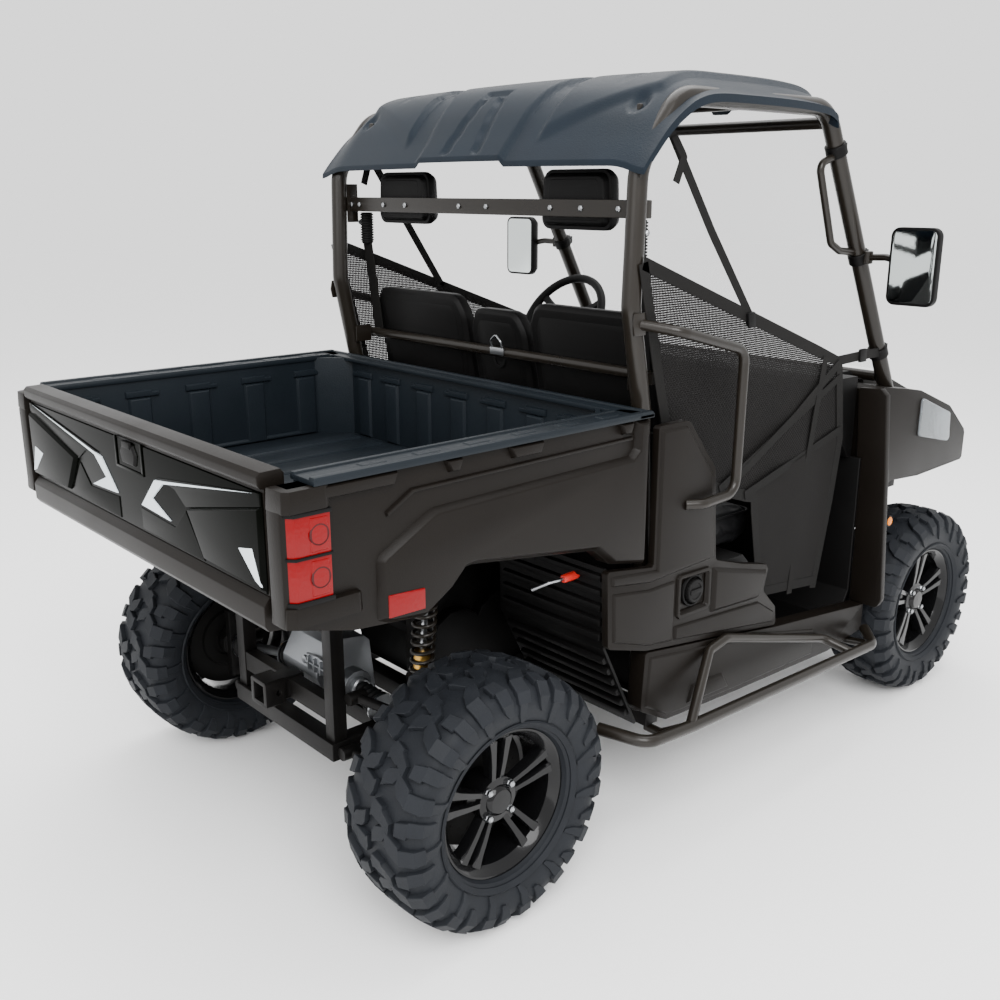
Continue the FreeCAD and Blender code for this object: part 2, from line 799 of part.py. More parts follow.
case_low = rail_top + gap
engine = new_body("engine_form")
pad(engine, "YZ", -150, 170, [
    (rear_axle - 600, case_low, 20), (rear_axle - 230, case_low, 20), (rear_axle - 200, 520, 20),
    (rear_axle - 250, 560, 20), (rear_axle - 290, 760, 30), (rear_axle - 470, 780, 30),
    (rear_axle - 520, 600, 20), (rear_axle - 630, 560, 20)])
pad(engine, "YZ", -190, -140, flatted(118, 12, rear_axle - 490, case_low + 132))
pad(engine, "YZ", -190, -140, flatted(96, 12, rear_axle - 312, case_low + 132))
engine_foot = half_spacing - 12
for y in (rear_axle - 580, rear_axle - 300):
    pad(engine, "YZ", -engine_foot, engine_foot, [(y, case_low), (y + 40, case_low), (y + 30, case_low + 26), (y + 10, case_low + 26)])
node("engine", engine)
rear_case = new_body("rear_gearcase_form")
pad(rear_case, "YZ", -88, 88, [
    (rear_axle - 90, case_low, 20), (rear_axle + 60, case_low, 20), (rear_axle + 110, 470, 24),
    (rear_axle + 60, 560, 20), (rear_axle - 70, 540, 20)])
pad(rear_case, "YZ", -output_x, output_x, flatted(44, 12, rear_axle, output_tall))
front_case = new_body("front_gearcase_form")
pad(front_case, "YZ", -76, 76, [
    (front_axle - 62, case_low, 14), (front_axle + 90, case_low, 20), (front_axle + 96, 470, 24),
    (front_axle + 40, 510, 20), (front_axle - 40, 500, 20)])
pad(front_case, "YZ", -output_x, output_x, flatted(40, 12, front_axle, output_tall))
group("gearcases", [rear_case, front_case])

# Floor, seat base and seats

floor_low = rail_top + gap
floor_top = floor_low + cells["floor_thick"]
panel = cells["panel_thick"]
inner_half = cab_half - panel - gap
dash_low = 905
post_back = front_axle + 380
toe = post_back + gap
floor_pan = new_body("floor_pan_form")
pad(floor_pan, "YZ", -outrigger, outrigger, [
    (rear_axle - 645, floor_low), (rear_axle - 645, floor_top), (toe + 60, floor_top),
    (toe + 10, floor_top + 90), (toe + 10, dash_low - gap), (toe, dash_low - gap), (toe, floor_top + 86),
    (toe + 54, floor_low)])
node("floor_pan", floor_pan)

seat_front = rear_axle - 1028
low_bar_y = rear_axle - 620
low_bar_z = 1277
low_bar_dia = 30
lean = math.tan(math.radians(10.3))


def lean_y(z):
    """Y of the seat backs' rear faces at a height, against the lower cross bar."""
    reach = (sized(low_bar_dia) / 2 / math.cos(math.pi / 12) + gap) / math.cos(math.atan(lean))
    return low_bar_y - reach - (low_bar_z - sized(z)) * lean


wall_top = 1120
wall_front = lean_y(wall_top) + gap
seat_back_wall = wall_front + 10
deck = cells["seat_deck"]
seat_base = new_body("seat_base_form")
seat_half = outrigger
base_low = floor_top + gap
pad(seat_base, "YZ", -seat_half, seat_half, [
    (seat_front, base_low, 8), (seat_front, deck, 30), (seat_back_wall, deck, 4), (seat_back_wall, base_low, 4)])
pad(seat_base, "YZ", -inner_half, inner_half, [
    (seat_front + 20, 606, 8), (seat_front + 40, deck - 24, 20), (seat_back_wall, deck - 14, 4), (seat_back_wall, 580, 4)])
pad(seat_base, "YZ", -cage_half + 30, cage_half - 30, [
    (wall_front, deck - 10), (wall_front, wall_top, 4), (seat_back_wall, wall_top, 4), (seat_back_wall, deck - 10)])
pocket(seat_base, "XY", base_low - 5, deck - 10, [
    (-seat_half + 10, seat_front + 10), (seat_half - 10, seat_front + 10),
    (seat_half - 10, seat_back_wall - 10), (-seat_half + 10, seat_back_wall - 10)])
node("seat_base", seat_base)


def make_cushion(name, centre, wide, top):
    """Seat cushion with a rolled front edge."""
    body = new_body(name)
    low = deck + gap
    pad(body, "YZ", centre - wide / 2, centre + wide / 2, [
        (seat_front - 52, low + 20, 18), (seat_front - 52, top - 18, 30),
        (rear_axle - 745, top, 14), (rear_axle - 745, low, 10), (seat_front, low, 10)])
    return body


side_wide = cells["side_seat_wide"]
middle_wide = cells["middle_seat_wide"]
pitch = cells["seat_pitch"] / 2
group("seat_cushions", [
    make_cushion("cushion_right_form", -pitch, side_wide, 842),
    make_cushion("cushion_left_form", pitch, side_wide, 842),
    make_cushion("cushion_middle_form", sized(0), middle_wide, 830),
])


def make_backrest(name, centre, wide, top):
    """Seat back shell that leans on the lower cross bar."""
    body = new_body(name)
    foot, head = lean_y(852), lean_y(top)
    pad(body, "YZ", centre - wide / 2, centre + wide / 2, [
        (foot - 96, 852, 20), (head - 92, top - 8, 34), (head, top, 22), (foot, 852, 16)])
    return body


middle_back = make_backrest("back_middle_form", sized(0), middle_wide, 1400)
pocket(middle_back, "XZ", rear_axle - 800, rear_axle - 600, flatted(20, 10, 0, 1250))
group("seat_backs", [
    make_backrest("back_right_form", -pitch, side_wide, 1432),
    make_backrest("back_left_form", pitch, side_wide, 1432),
    middle_back,
])

headrest = new_body("headrest_right_form")
bar_y = rear_axle - 512 - cells["cage_dia"] / 2 - 12 - gap
pad(headrest, "XZ", bar_y - 72, bar_y - 12 - gap, [
    (-pitch - 131, 1640, 26), (-pitch + 131, 1640, 26), (-pitch + 122, 1796, 30), (-pitch - 122, 1796, 30)])
pair("headrests", headrest)

# Cab side panels, rockers and fuel cap

cab_side = new_body("cab_side_form")
cab_back = cells["bed_front"] - 22
pad(cab_side, "YZ", -cab_half, -cab_half + panel, [
    (rear_axle - 657, 1172, 20), (cab_back, 1172, 8), (cab_back, 798, 6), (rear_axle - 360, 826, 6),
    (rear_axle - 369, 614, 10), (rear_axle - 518, 567, 10), (rear_axle - 794, 526, 10),
    (rear_axle - 1119, 476, 8), (rear_axle - 1108, 540, 10), (rear_axle - 1041, 606, 8),
    (rear_axle - 1062, 683, 14), (rear_axle - 923, 718, 10), (rear_axle - 802, 757, 10),
    (rear_axle - 778, 1024, 20)])
pocket(cab_side, "YZ", -cab_half - 1, -cab_half + 8, [
    (rear_axle - 760, 636, 12), (rear_axle - 650, 636, 12), (rear_axle - 650, 746, 12), (rear_axle - 760, 740, 12)])
rocker = new_body("rocker_form")
sill_front = front_axle + 372
sill_top = 412
pad(rocker, "YZ", -cab_half, -cab_half + cells["rocker_deep"], [
    (rear_axle - 518, 561, 8), (rear_axle - 506, 394, 14), (rear_axle - 614, 334, 14),
    (rear_axle - 929, 318, 10), (sill_front + 200, 299, 14), (sill_front, 322, 10), (sill_front, sill_top, 3), (post_back + 6, sill_top, 8),
    (rear_axle - 1119, 470, 10), (rear_axle - 794, 520, 10)])
pocket(rocker, "YZ", -cab_half + 14, -cab_half + 90, [
    (rear_axle - 530, 540, 8), (rear_axle - 524, 402, 8), (rear_axle - 618, 350, 8),
    (rear_axle - 929, 334, 8), (sill_front + 200, 315, 8), (sill_front + 14, 334, 6), (sill_front + 14, sill_top - 16, 6),
    (rear_axle - 1119, 454, 8), (rear_axle - 794, 504, 8)])
mirrored = []
for half_piece in (cab_side, rocker):
    other = doc.addObject("Part::Mirroring", f"{half_piece.Name}_left")
    other.Source = half_piece
    other.Normal = Vector(1, 0, 0)
    mirrored.append(other)
group("cab_sides", [cab_side, rocker] + mirrored)

fuel_cap = new_body("fuel_cap_form")
pad(fuel_cap, "YZ", -cab_half - 14, -cab_half + 8 - gap, flatted(34, 12, rear_axle - 706, 692))
node("fuel_cap", fuel_cap)

mud_guard = new_body("mud_guard_form")
pad(mud_guard, "YZ", -cab_half + panel + gap, -300, [
    (rear_axle - 372, 826), (rear_axle - 380, 826), (rear_axle - 384, 606), (rear_axle - 516, 352),
    (rear_axle - 508, 348), (rear_axle - 376, 604)])
pair("mud_guards", mud_guard)

# Roll cage

cage_bend = cells["cage_bend"]
cage_dia = cells["cage_dia"]
cross_dia = cells["cross_dia"]
rail_z = cells["roof_rail_tall"]
skin = cage_dia / 2 + gap
tube_in = cage_half - skin
top_cross_y = rear_axle - 700


def make_cage_side(diameter):
    """One side of the cage: windshield pillar, roof rail and rear pillar in one bent tube."""
    return bent_bar([
        spot(-cage_half, pillar_y(1040), cells["front_tower"] + gap),
        spot(-cage_half, pillar_y(1040), 1040),
        spot(-cage_half, pillar_y(rail_z), rail_z),
        spot(-cage_half, rear_axle - 655, rail_z),
        spot(-cage_half, rear_axle - 515, 1800),
        spot(-cage_half, rear_axle - 505, 1460),
        spot(-cage_half, rear_axle - 556, 1205),
        spot(-cage_half, rear_axle - 592, rail_top + gap)], diameter, cage_bend)


cage_side = make_cage_side(cage_dia)
cage_clear = make_cage_side(cage_dia + 2 * gap)
plain_node("cage_sides", [cage_side, flip(cage_side)])


def make_crossbars():
    """Bars between the cage's two sides, from the windshield to the seat backs."""
    bars = []
    for y, z, diameter in ((pillar_y(1925), 1925, cross_dia), (pillar_y(1150), 1150, cross_dia),
                           (front_axle + 1000, rail_z, cross_dia), (top_cross_y, rail_z, cross_dia)):
        bars.append(bar(spot(-tube_in, y, z), spot(tube_in, y, z), diameter, 12))
    rest = block(spot(-cage_half - 10, bar_y - 12, 1675), spot(cage_half + 10, bar_y + 12, 1719))
    holes = [rod(spot(x, bar_y - 30, 1697), spot(x, bar_y + 30, 1697), 9) for x in (-60, 60)]
    bars.append(rest.cut(Part.makeCompound(holes + [cage_clear, flip(cage_clear)])))
    low = bar(spot(-cage_half - 6, low_bar_y, low_bar_z), spot(cage_half + 6, low_bar_y, low_bar_z), low_bar_dia, 12)
    tab = block(spot(-cage_half - 6, low_bar_y, low_bar_z - 15),
                spot(-cage_half + 6, rear_axle - 542 - skin, low_bar_z + 15))
    bars.append(welded([low, tab, flip(tab)]).cut(Part.makeCompound([cage_clear, flip(cage_clear)])))
    return bars


plain_node("cage_crossbars", make_crossbars())


# Roof shell: two crossed crowned profiles, outer less inner

def make_roof():
    """Moulded roof that curls down at the sides and the rear, with sunk grooves and feet on the cage."""
    half = cage_half + cells["roof_reach"]
    top = cells["roof_top"]
    front, back = front_axle + 702, rear_axle - 478

    def crowned(name, inset):
        side = new_body(f"{name}_side")
        pad(side, "YZ", -half - 20, half + 20, [
            (front + inset, 1760), (front + inset, 2012 - inset, 14), (front + 60, top - 10 - inset, 60),
            (front + 240, top - inset, 200), (rear_axle - 730, top - inset, 160),
            (rear_axle - 622, top - 44 - inset, 110),
            (back - inset, 1828 - inset), (back - inset, 1760)])
        across = new_body(f"{name}_across")
        pad(across, "XZ", front - 60, back + 60, [
            (-half + inset, 1700), (-half + inset, 1990 - inset, 16), (-half + 60, top - 14 - inset, 50),
            (-half + 220, top - inset, 150), (half - 220, top - inset, 150), (half - 60, top - 14 - inset, 50),
            (half - inset, 1990 - inset, 16), (half - inset, 1700)])
        common = doc.addObject("Part::Common", name)
        common.Base = side
        common.Tool = across
        return common

    def less(name, base, tool):
        feature = doc.addObject("Part::Cut", name)
        feature.Base = base
        feature.Tool = tool
        return feature

    shell = less("roof_shell", crowned("roof_outer", sized(0)), crowned("roof_inner", cells["roof_thick"]))
    trim = new_body("roof_trim")
    pad(trim, "YZ", -half - 40, half + 40, [
        (front - 80, 1700), (front - 80, 1996), (front + 30, 1996), (front + 90, 1978), (rear_axle - 700, 1978),
        (rear_axle - 560, 1822), (back + 40, 1822), (back + 40, 1700)])
    shell = less("roof_trimmed", shell, trim)
    grooves = new_body("roof_groove_plan")
    groove_back = back - 34
    for side in (-1, 1):
        pad(grooves, "XY", 1840, top + 10, [
            (side * 250, front + 46), (side * 290, front + 46), (side * 226, groove_back), (side * 176, groove_back)])
        pad(grooves, "XY", 1840, top + 10, [
            (side * 430, front + 60), (side * 600, front + 60), (side * 600, groove_back - 150),
            (side * 500, groove_back - 60), (side * 360, groove_back - 60)])
    shell = less("roof_grooved", shell, less("roof_grooves", grooves, crowned("roof_sunk", cells["roof_groove"])))
    feet = new_body("roof_feet")
    foot_low = rail_z + cage_dia / 2 + gap
    for side in (-1, 1):
        for y in (front + 110, rear_axle - 800):
            pad(feet, "XY", foot_low, foot_low + 22, [
                (side * (cage_half - 22), y), (side * (cage_half + 8), y),
                (side * (cage_half + 8), y + 44), (side * (cage_half - 22), y + 44)])
    roof = doc.addObject("Part::Fuse", "roof_form")
    roof.Base = shell
    roof.Tool = feet
    return roof


node("roof", make_roof())

# Windshield

windshield = new_body("windshield_form")
slope = math.degrees(math.atan2(457, 819))
glass_low, glass_high = 1168, 1975
height = (glass_high - glass_low) / math.cos(math.radians(slope))
glass_half = tube_in - 4
pad(windshield, "XZ", -cells["glass_thick"], 0, [
    (-glass_half, 0, 30), (glass_half, 0, 30), (glass_half, height, 30), (-glass_half, height, 30)])
ahead = float(cross_dia / 2 + gap)
windshield.Placement = FreeCAD.Placement(
    spot(0, pillar_y(glass_low) - ahead * math.cos(math.radians(slope)), glass_low + ahead * math.sin(math.radians(slope))),
    FreeCAD.Rotation(Vector(1, 0, 0), -slope))
node("windshield", windshield)

# Front body

hood_half = cab_half - 160
hood_line = [(224, 1134, 0), (60, 1122, 60), (-130, 1046, 60), (-250, 944, 20)]
hood = new_body("hood_form")
pad(hood, "YZ", -hood_half, hood_half,
    [(front_axle + y, z, radius) for y, z, radius in hood_line]
    + [(front_axle - 252, 900, 4), (front_axle - 130, 994, 60), (front_axle + 60, 1066, 60), (front_axle + 224, 1080)])
pocket(hood, "YZ", -hood_half + 8, hood_half - 8,
       [(front_axle + 232, 1126)] + [(front_axle + y + 2, z - 9, radius) for y, z, radius in hood_line[1:3]]
       + [(front_axle - 244, 934, 10), (front_axle - 240, 880), (front_axle + 232, 1040)])
node("hood", hood)

fascia_back = front_axle - 254 - gap
fascia = new_body("front_fascia_form")
pad(fascia, "YZ", -hood_half - 40, hood_half + 40, [
    (fascia_back, 896, 4), (front_axle - 274, 912, 12), (front_axle - 292, 814, 18), (front_axle - 286, 786, 8),
    (fascia_back, 786, 4)])
pad(fascia, "YZ", -370, 370, [
    (fascia_back, 800), (front_axle - 286, 800), (front_axle - 262, 700, 20), (front_axle - 296, 560, 10),
    (front_axle - 286, 552, 4), (front_axle - 248, 702, 14)])
for low in (596, 632, 668):
    pocket(fascia, "XZ", nose, fascia_back + 1, [(-300, low), (300, low), (300, low + 22), (-300, low + 22)])
node("front_fascia", fascia)

bumper_wide = 300
bumper_y = nose + 20
bumper_tube = 40
foot_y = front_axle - 230 - gap
plain_node("front_bumper", [bent_bar([
    spot(-230, foot_y, 325), spot(-230, foot_y - 70, 325), spot(-bumper_wide, bumper_y, 400), spot(-bumper_wide, bumper_y, 640),
    spot(bumper_wide, bumper_y, 640), spot(bumper_wide, bumper_y, 400),
    spot(230, foot_y - 70, 325), spot(230, foot_y, 325)],
    bumper_tube, 50)])

fender_back = front_axle + 356 - gap
fender = new_body("front_fender_form")
pad(fender, "YZ", -cab_half + 15, -hood_half - gap, [
    (fender_back, 1138, 12), (front_axle + 224, 1119, 30), (front_axle + 100, 1098, 20),
    (front_axle - 120, 1018, 30), (front_axle - 254, 912, 20), (front_axle - 254, 806, 10),
    (front_axle + 64, 798, 20), (front_axle + 250, 812, 20), (fender_back, 700, 4)])
pocket(fender, "YZ", -cab_half + 30, -hood_half + 10, [
    (fender_back - 10, 1126, 6), (front_axle + 224, 1108, 30), (front_axle + 100, 1088, 20),
    (front_axle - 118, 1006, 30), (front_axle - 242, 904, 10), (front_axle - 244, 780),
    (front_axle + 64, 780), (front_axle + 250, 780), (fender_back - 10, 690, 3)])
pocket(fender, "XY", 1040, 1180, [
    (-cage_half - 32, pillar_y(1100) - 34, 12), (-cage_half + 32, pillar_y(1100) - 34, 12),
    (-cage_half + 32, pillar_y(1140) + 38, 12), (-cage_half - 32, pillar_y(1140) + 38, 12)])
pair("front_fenders", fender)

lamp = new_body("headlamp_form")
pad(lamp, "YZ", -cab_half + 6, -cab_half + 15 - gap, [
    (front_axle + 96, 1080, 10), (front_axle - 116, 1000, 10), (front_axle - 130, 884, 10),
    (front_axle + 100, 940, 10)])
pair("headlamps", lamp)

front_post = new_body("front_post_form")
pad(front_post, "XZ", front_axle + 356, post_back, [
    (-cab_half + 86, 1132, 8), (-cab_half - 13, 1138, 20), (-cab_half - 38, 840, 40), (-cab_half - 65, 440, 20),
    (-cab_half - 50, sill_top + gap, 10),
    (-cab_half + cells["rocker_deep"], sill_top + gap, 6), (-cab_half + cells["rocker_deep"], 640, 30)])
pair("front_posts", front_post)

dash_front = pillar_y(1150) + cross_dia / 2 + gap
dash_back = [(front_axle + 500, 1170, 20), (front_axle + 516, 1120, 20), (front_axle + 450, 960, 30)]
dashboard = new_body("dashboard_form")
pad(dashboard, "YZ", -hood_half + 4, hood_half - 4, [
    (dash_front, 1126, 10), (front_axle + 300, 1168, 20)] + dash_back
    + [(front_axle + 400, dash_low, 12), (dash_front, dash_low, 10)])
pad(dashboard, "YZ", -cab_half + 88, cab_half - 88, [(post_back + 2, 1168, 4)] + dash_back
    + [(front_axle + 410, dash_low), (post_back + 2, dash_low, 4)])

# Steering wheel

column_lean = 35
grip = 15
ring_mid = cells["steering_dia"] / 2 - grip
column_reach = 300
column_thick = 17
steering_y = front_axle + 720
steering_z = 1290


def make_steering_wheel():
    """Rim, three spokes, hub cap and column, about X."""
    profile = [(grip * math.cos(math.radians(60 * k)), float(ring_mid) + grip * math.sin(math.radians(60 * k)))
               for k in range(6)]
    pieces = [turned(profile, 20)]
    pieces.append(rod(spot(-column_reach, 0, 0), spot(14, 0, 0), 2 * column_thick))
    pieces.append(bar(spot(-18, 0, 0), spot(16, 0, 0), 104))
    for turn in (0, 120, 240):
        spoke = Part.Face(Part.makePolygon([spot(-8, v, u) for v, u in (
            (-20, 30), (20, 30), (15, ring_mid), (-15, ring_mid), (-20, 30))])).extrude(Vector(14, 0, 0))
        spoke.rotate(Vector(0, 0, 0), Vector(1, 0, 0), turn + 60)
        pieces.append(spoke)
    return welded(pieces)


steering = plain_node("steering_wheel", [make_steering_wheel()])
steering.Placement = FreeCAD.Placement(
    spot(pitch, steering_y, steering_z),
    FreeCAD.Rotation(Vector(0, 0, 1), 90) * FreeCAD.Rotation(Vector(0, 1, 0), -column_lean))

column_bore = doc.addObject("Part::Prism", "column_bore")
column_bore.Polygon = PIN_SIDES
column_bore.Circumradius = (column_thick + float(gap)) / math.cos(math.pi / PIN_SIDES)
column_bore.Height = 90
lean_in = math.radians(column_lean)
bore_start = column_reach + float(gap)
column_bore.Placement = FreeCAD.Placement(
    spot(pitch, steering_y - bore_start * math.cos(lean_in), steering_z - bore_start * math.sin(lean_in)),
    FreeCAD.Rotation(Vector(1, 0, 0), -(90 - column_lean)))
dash_cut = doc.addObject("Part::Cut", "dashboard_cut")
dash_cut.Base = dashboard
dash_cut.Tool = column_bore
node("dashboard", dash_cut)

# Mirrors, grab handle, hip bars and step bars

mirror_y = front_axle + 503
mirror_z = 1526
mirror_x = cage_half + 200
arm_start = spot(-cage_half - cage_dia / 2 - gap, pillar_y(1545), 1545)
mirror_case = new_body("mirror_form")
wide, tall = cells["mirror_wide"] / 2, cells["mirror_tall"] / 2
pad(mirror_case, "XZ", mirror_y - 52, mirror_y, [
    (-mirror_x - wide, mirror_z - tall, 24), (-mirror_x + wide, mirror_z - tall, 24),
    (-mirror_x + wide, mirror_z + tall, 24), (-mirror_x - wide, mirror_z + tall, 24)])
doc.recompute()
mirror_arm = bar(arm_start, spot(-mirror_x + 40, mirror_y - 26, 1535), 22)
mirror = welded([mirror_case.Shape, mirror_arm]).cut(cage_clear)
plain_node("mirrors", [mirror, flip(mirror)])

grab = bent_bar([
    spot(-cage_half, pillar_y(1830), 1836), spot(-cage_half, front_axle + 712, 1812),
    spot(-cage_half, front_axle + 620, 1590), spot(-cage_half, front_axle + 570, 1567),
    spot(-cage_half, pillar_y(1567), 1560)], 22, 24)
plain_node("grab_handle", [grab.cut(cage_clear)])

hip_x = cab_half + 30
hip = bent_bar([
    spot(-cage_half, rear_axle - 506, 1424), spot(-hip_x, rear_axle - 570, 1408),
    spot(-hip_x, rear_axle - 834, 1339), spot(-hip_x, rear_axle - 828, 952),
    spot(-hip_x, rear_axle - 690, 946), spot(-cab_half + 10, rear_axle - 640, 946)], cells["bar_dia"], 45)
hip = hip.cut(cage_clear).cut(block(spot(-cab_half - gap, rear_axle - 700, 900), spot(-600, rear_axle - 560, 1000)))
plain_node("hip_bars", [hip, flip(hip)])

step_half = cells["step_wide"] / 2
hoop_x = step_half - 85
stay_x = step_half - 115
step_main = bent_bar([
    spot(-step_half + 130, rear_axle - 372, 380), spot(-step_half, rear_axle - 420, 372), spot(-step_half, rear_axle - 600, 358),
    spot(-step_half, front_axle + 470, 326), spot(-step_half + 70, front_axle + 405, 342)], cells["step_dia"], 50)
step_hoop = bent_bar([
    spot(-step_half, rear_axle - 595, 360), spot(-hoop_x, rear_axle - 775, 500), spot(-hoop_x, rear_axle - 850, 515),
    spot(-hoop_x, front_axle + 632, 366), spot(-step_half, front_axle + 592, 332)], cells["bar_dia"], 40)
stay_dia = 26
stay_z = cells["rail_bottom"] - stay_dia / 2 - 2 * gap
stays = [bent_bar([spot(-step_half, y, z), spot(-stay_x, stay_y, stay_z), spot(-outrigger + 20, stay_y, stay_z)],
                  stay_dia, 30)
         for y, stay_y, z in ((rear_axle - 615, rear_axle - 615, 357), (front_axle + 475, front_axle + 415, 326))]
step = welded([step_main, step_hoop] + stays)
plain_node("step_bars", [step, flip(step)])

# Door nets and belts

net = new_body("side_net_form")
pad(net, "YZ", -cage_half - skin - 5, -cage_half - skin, [
    (rear_axle - 510, 1572), (front_axle + 567, 1237), (front_axle + 527, 992), (front_axle + 555, 802),
    (front_axle + 614, 515), (rear_axle - 1099, 556), (rear_axle - 1032, 882), (rear_axle - 800, 960),
    (rear_axle - 640, 1090), (rear_axle - 580, 1300)])
pair("side_nets", net)

reel = 44
reel_x = cage_half - 50
belt_y = bar_y - 12 - reel / 2 - gap
belt_body = bar(spot(-reel_x, belt_y, 1571), spot(-reel_x, belt_y, 1672), reel)
belt_strap = new_body("belt_strap_form")
strap_foot = low_bar_z + low_bar_dia / 2 + gap
pad(belt_strap, "YZ", -reel_x - 24, -reel_x + 24, [
    (belt_y - 2, 1571), (belt_y + 2, 1571), (low_bar_y + 2, strap_foot), (low_bar_y - 2, strap_foot)])
doc.recompute()
belt = welded([belt_body, belt_strap.Shape])
plain_node("seat_belts", [belt, flip(belt)])

# Cargo bed

bed_front = cells["bed_front"]
bed_half = cells["bed_wide"] / 2
tub_half = bed_half - cells["bed_side_thick"]
wall = cells["tub_wall"]
rim_top = cells["bed_rim"]
gate_face = tail - cells["gate_thick"]
tub_back = gate_face - 16
tub = new_body("bed_tub_form")
outer = tub_half + wall
pad(tub, "XY", floor_top_bed - 15, rim_top - cells["rim_thick"], [
    (-outer, bed_front + 24, 60), (outer, bed_front + 24, 60), (outer, tub_back), (-outer, tub_back)])
pad(tub, "XY", rim_top - cells["rim_thick"], rim_top, [
    (-bed_half, bed_front, 30), (bed_half, bed_front, 30), (bed_half, tub_back + 4), (-bed_half, tub_back + 4)])
pocket(tub, "XY", floor_top_bed, rim_top + 5, [
    (-tub_half, bed_front + 36, 90), (tub_half, bed_front + 36, 90), (tub_half, tail), (-tub_half, tail)])
rib = 8
for side in (-1, 1):
    for y in (620, 800, 980, 1160, 1340):
        pad(tub, "XY", floor_top_bed - 1, rim_top - 28, [
            (side * (tub_half - rib), bed_front + y - 470), (side * (tub_half + 1), bed_front + y - 480),
            (side * (tub_half + 1), bed_front + y - 400), (side * (tub_half - rib), bed_front + y - 410)])
for x in (-450, -150, 150, 450):
    pad(tub, "XY", floor_top_bed - 1, rim_top - 28, [
        (x - 40, bed_front + 35), (x + 40, bed_front + 35), (x + 32, bed_front + 36 + rib), (x - 32, bed_front + 36 + rib)])
for x in (-480, -320, -160, 160, 320, 480):
    pad(tub, "YZ", x - 30, x + 30, [
        (bed_front + 60, floor_top_bed - 1), (tub_back - 20, floor_top_bed - 1), (tub_back - 30, floor_top_bed + 6),
        (bed_front + 70, floor_top_bed + 6)])
node("bed_tub", tub)

bed_side = new_body("bed_side_form")
under_rim = rim_top - cells["rim_thick"] - gap
side_in = outer + gap
step_in = 7
pad(bed_side, "YZ", -bed_half + step_in, -side_in, [
    (bed_front + 6, under_rim), (bed_front + 6, 811, 16), (rear_axle - 382, 838, 30),
    (rear_axle - 320, 886, 40), (rear_axle + 84, 944, 60), (rear_axle + 132, 903, 40),
    (rear_axle + 205, 858, 30), (rear_axle + 388, 875, 60), (tail - 4, 918, 20), (tail - 4, 1150, 14),
    (tail - 22, under_rim)])
pad(bed_side, "YZ", -bed_half, -bed_half + step_in + 1, [
    (bed_front + 6, under_rim), (bed_front + 6, 811, 16), (rear_axle - 382, 838, 30),
    (rear_axle - 320, 886, 40), (rear_axle + 84, 944, 60), (rear_axle + 132, 903, 40),
    (rear_axle + 205, 858, 30), (rear_axle + 331, 869), (rear_axle + 331, 1020, 30), (rear_axle + 182, 1101, 40),
    (rear_axle - 441, 1115, 30), (rear_axle - 454, under_rim)])
pocket(bed_side, "YZ", -bed_half + 18, -side_in + 5, [
    (bed_front + 24, under_rim + 5), (bed_front + 24, 829, 10), (rear_axle - 388, 856, 20),
    (rear_axle - 326, 904, 30), (rear_axle + 86, 964, 50), (rear_axle + 140, 921, 30),
    (rear_axle + 209, 876, 20), (rear_axle + 388, 893, 40), (tail - 60, 930, 10), (tail - 60, under_rim + 5)])
for back_end, front_end in ((251, 168), (80, -15), (-159, -378)):
    pocket(bed_side, "YZ", -bed_half, -bed_half + step_in + 7, [
        (rear_axle + front_end, 1166, 10), (rear_axle + back_end, 1166, 10), (rear_axle + back_end, 1193),
        (rear_axle + front_end, 1193)])
lamp_low, lamp_high = 966, 1152
lamp_side = -bed_half + step_in
pocket(bed_side, "YZ", -bed_half, -side_in + 5, [
    (tail - 52, lamp_low), (tail + 5, lamp_low), (tail + 5, lamp_high), (tail - 52, lamp_high)])
pocket(bed_side, "YZ", -bed_half, lamp_side + 6, [
    (tail - 112, lamp_low), (tail - 50, lamp_low), (tail - 50, lamp_high), (tail - 112, lamp_high)])
pair("bed_sides", bed_side)

tail_lamp = new_body("tail_lamp_form")
pad(tail_lamp, "XY", lamp_low + gap, lamp_high - gap, [
    (lamp_side + 1, tail - 112 + gap), (lamp_side + 6 - gap, tail - 112 + gap), (lamp_side + 6 - gap, tail - 52 + gap),
    (-side_in - 4, tail - 52 + gap), (-side_in - 4, tail - 34), (-side_in - 12, tail - 24), (lamp_side + 20, tail - 14),
    (lamp_side + 1, tail - 34)])
pocket(tail_lamp, "XZ", tail - 30, tail, [
    (lamp_side, 1056), (-side_in, 1056), (-side_in, 1064), (lamp_side, 1064)])
pair("tail_lamps", tail_lamp)


gate_hinge_y = gate_face + 8
gate_hinge_z = cells["gate_low"] + cells["gate_hinge_rise"]


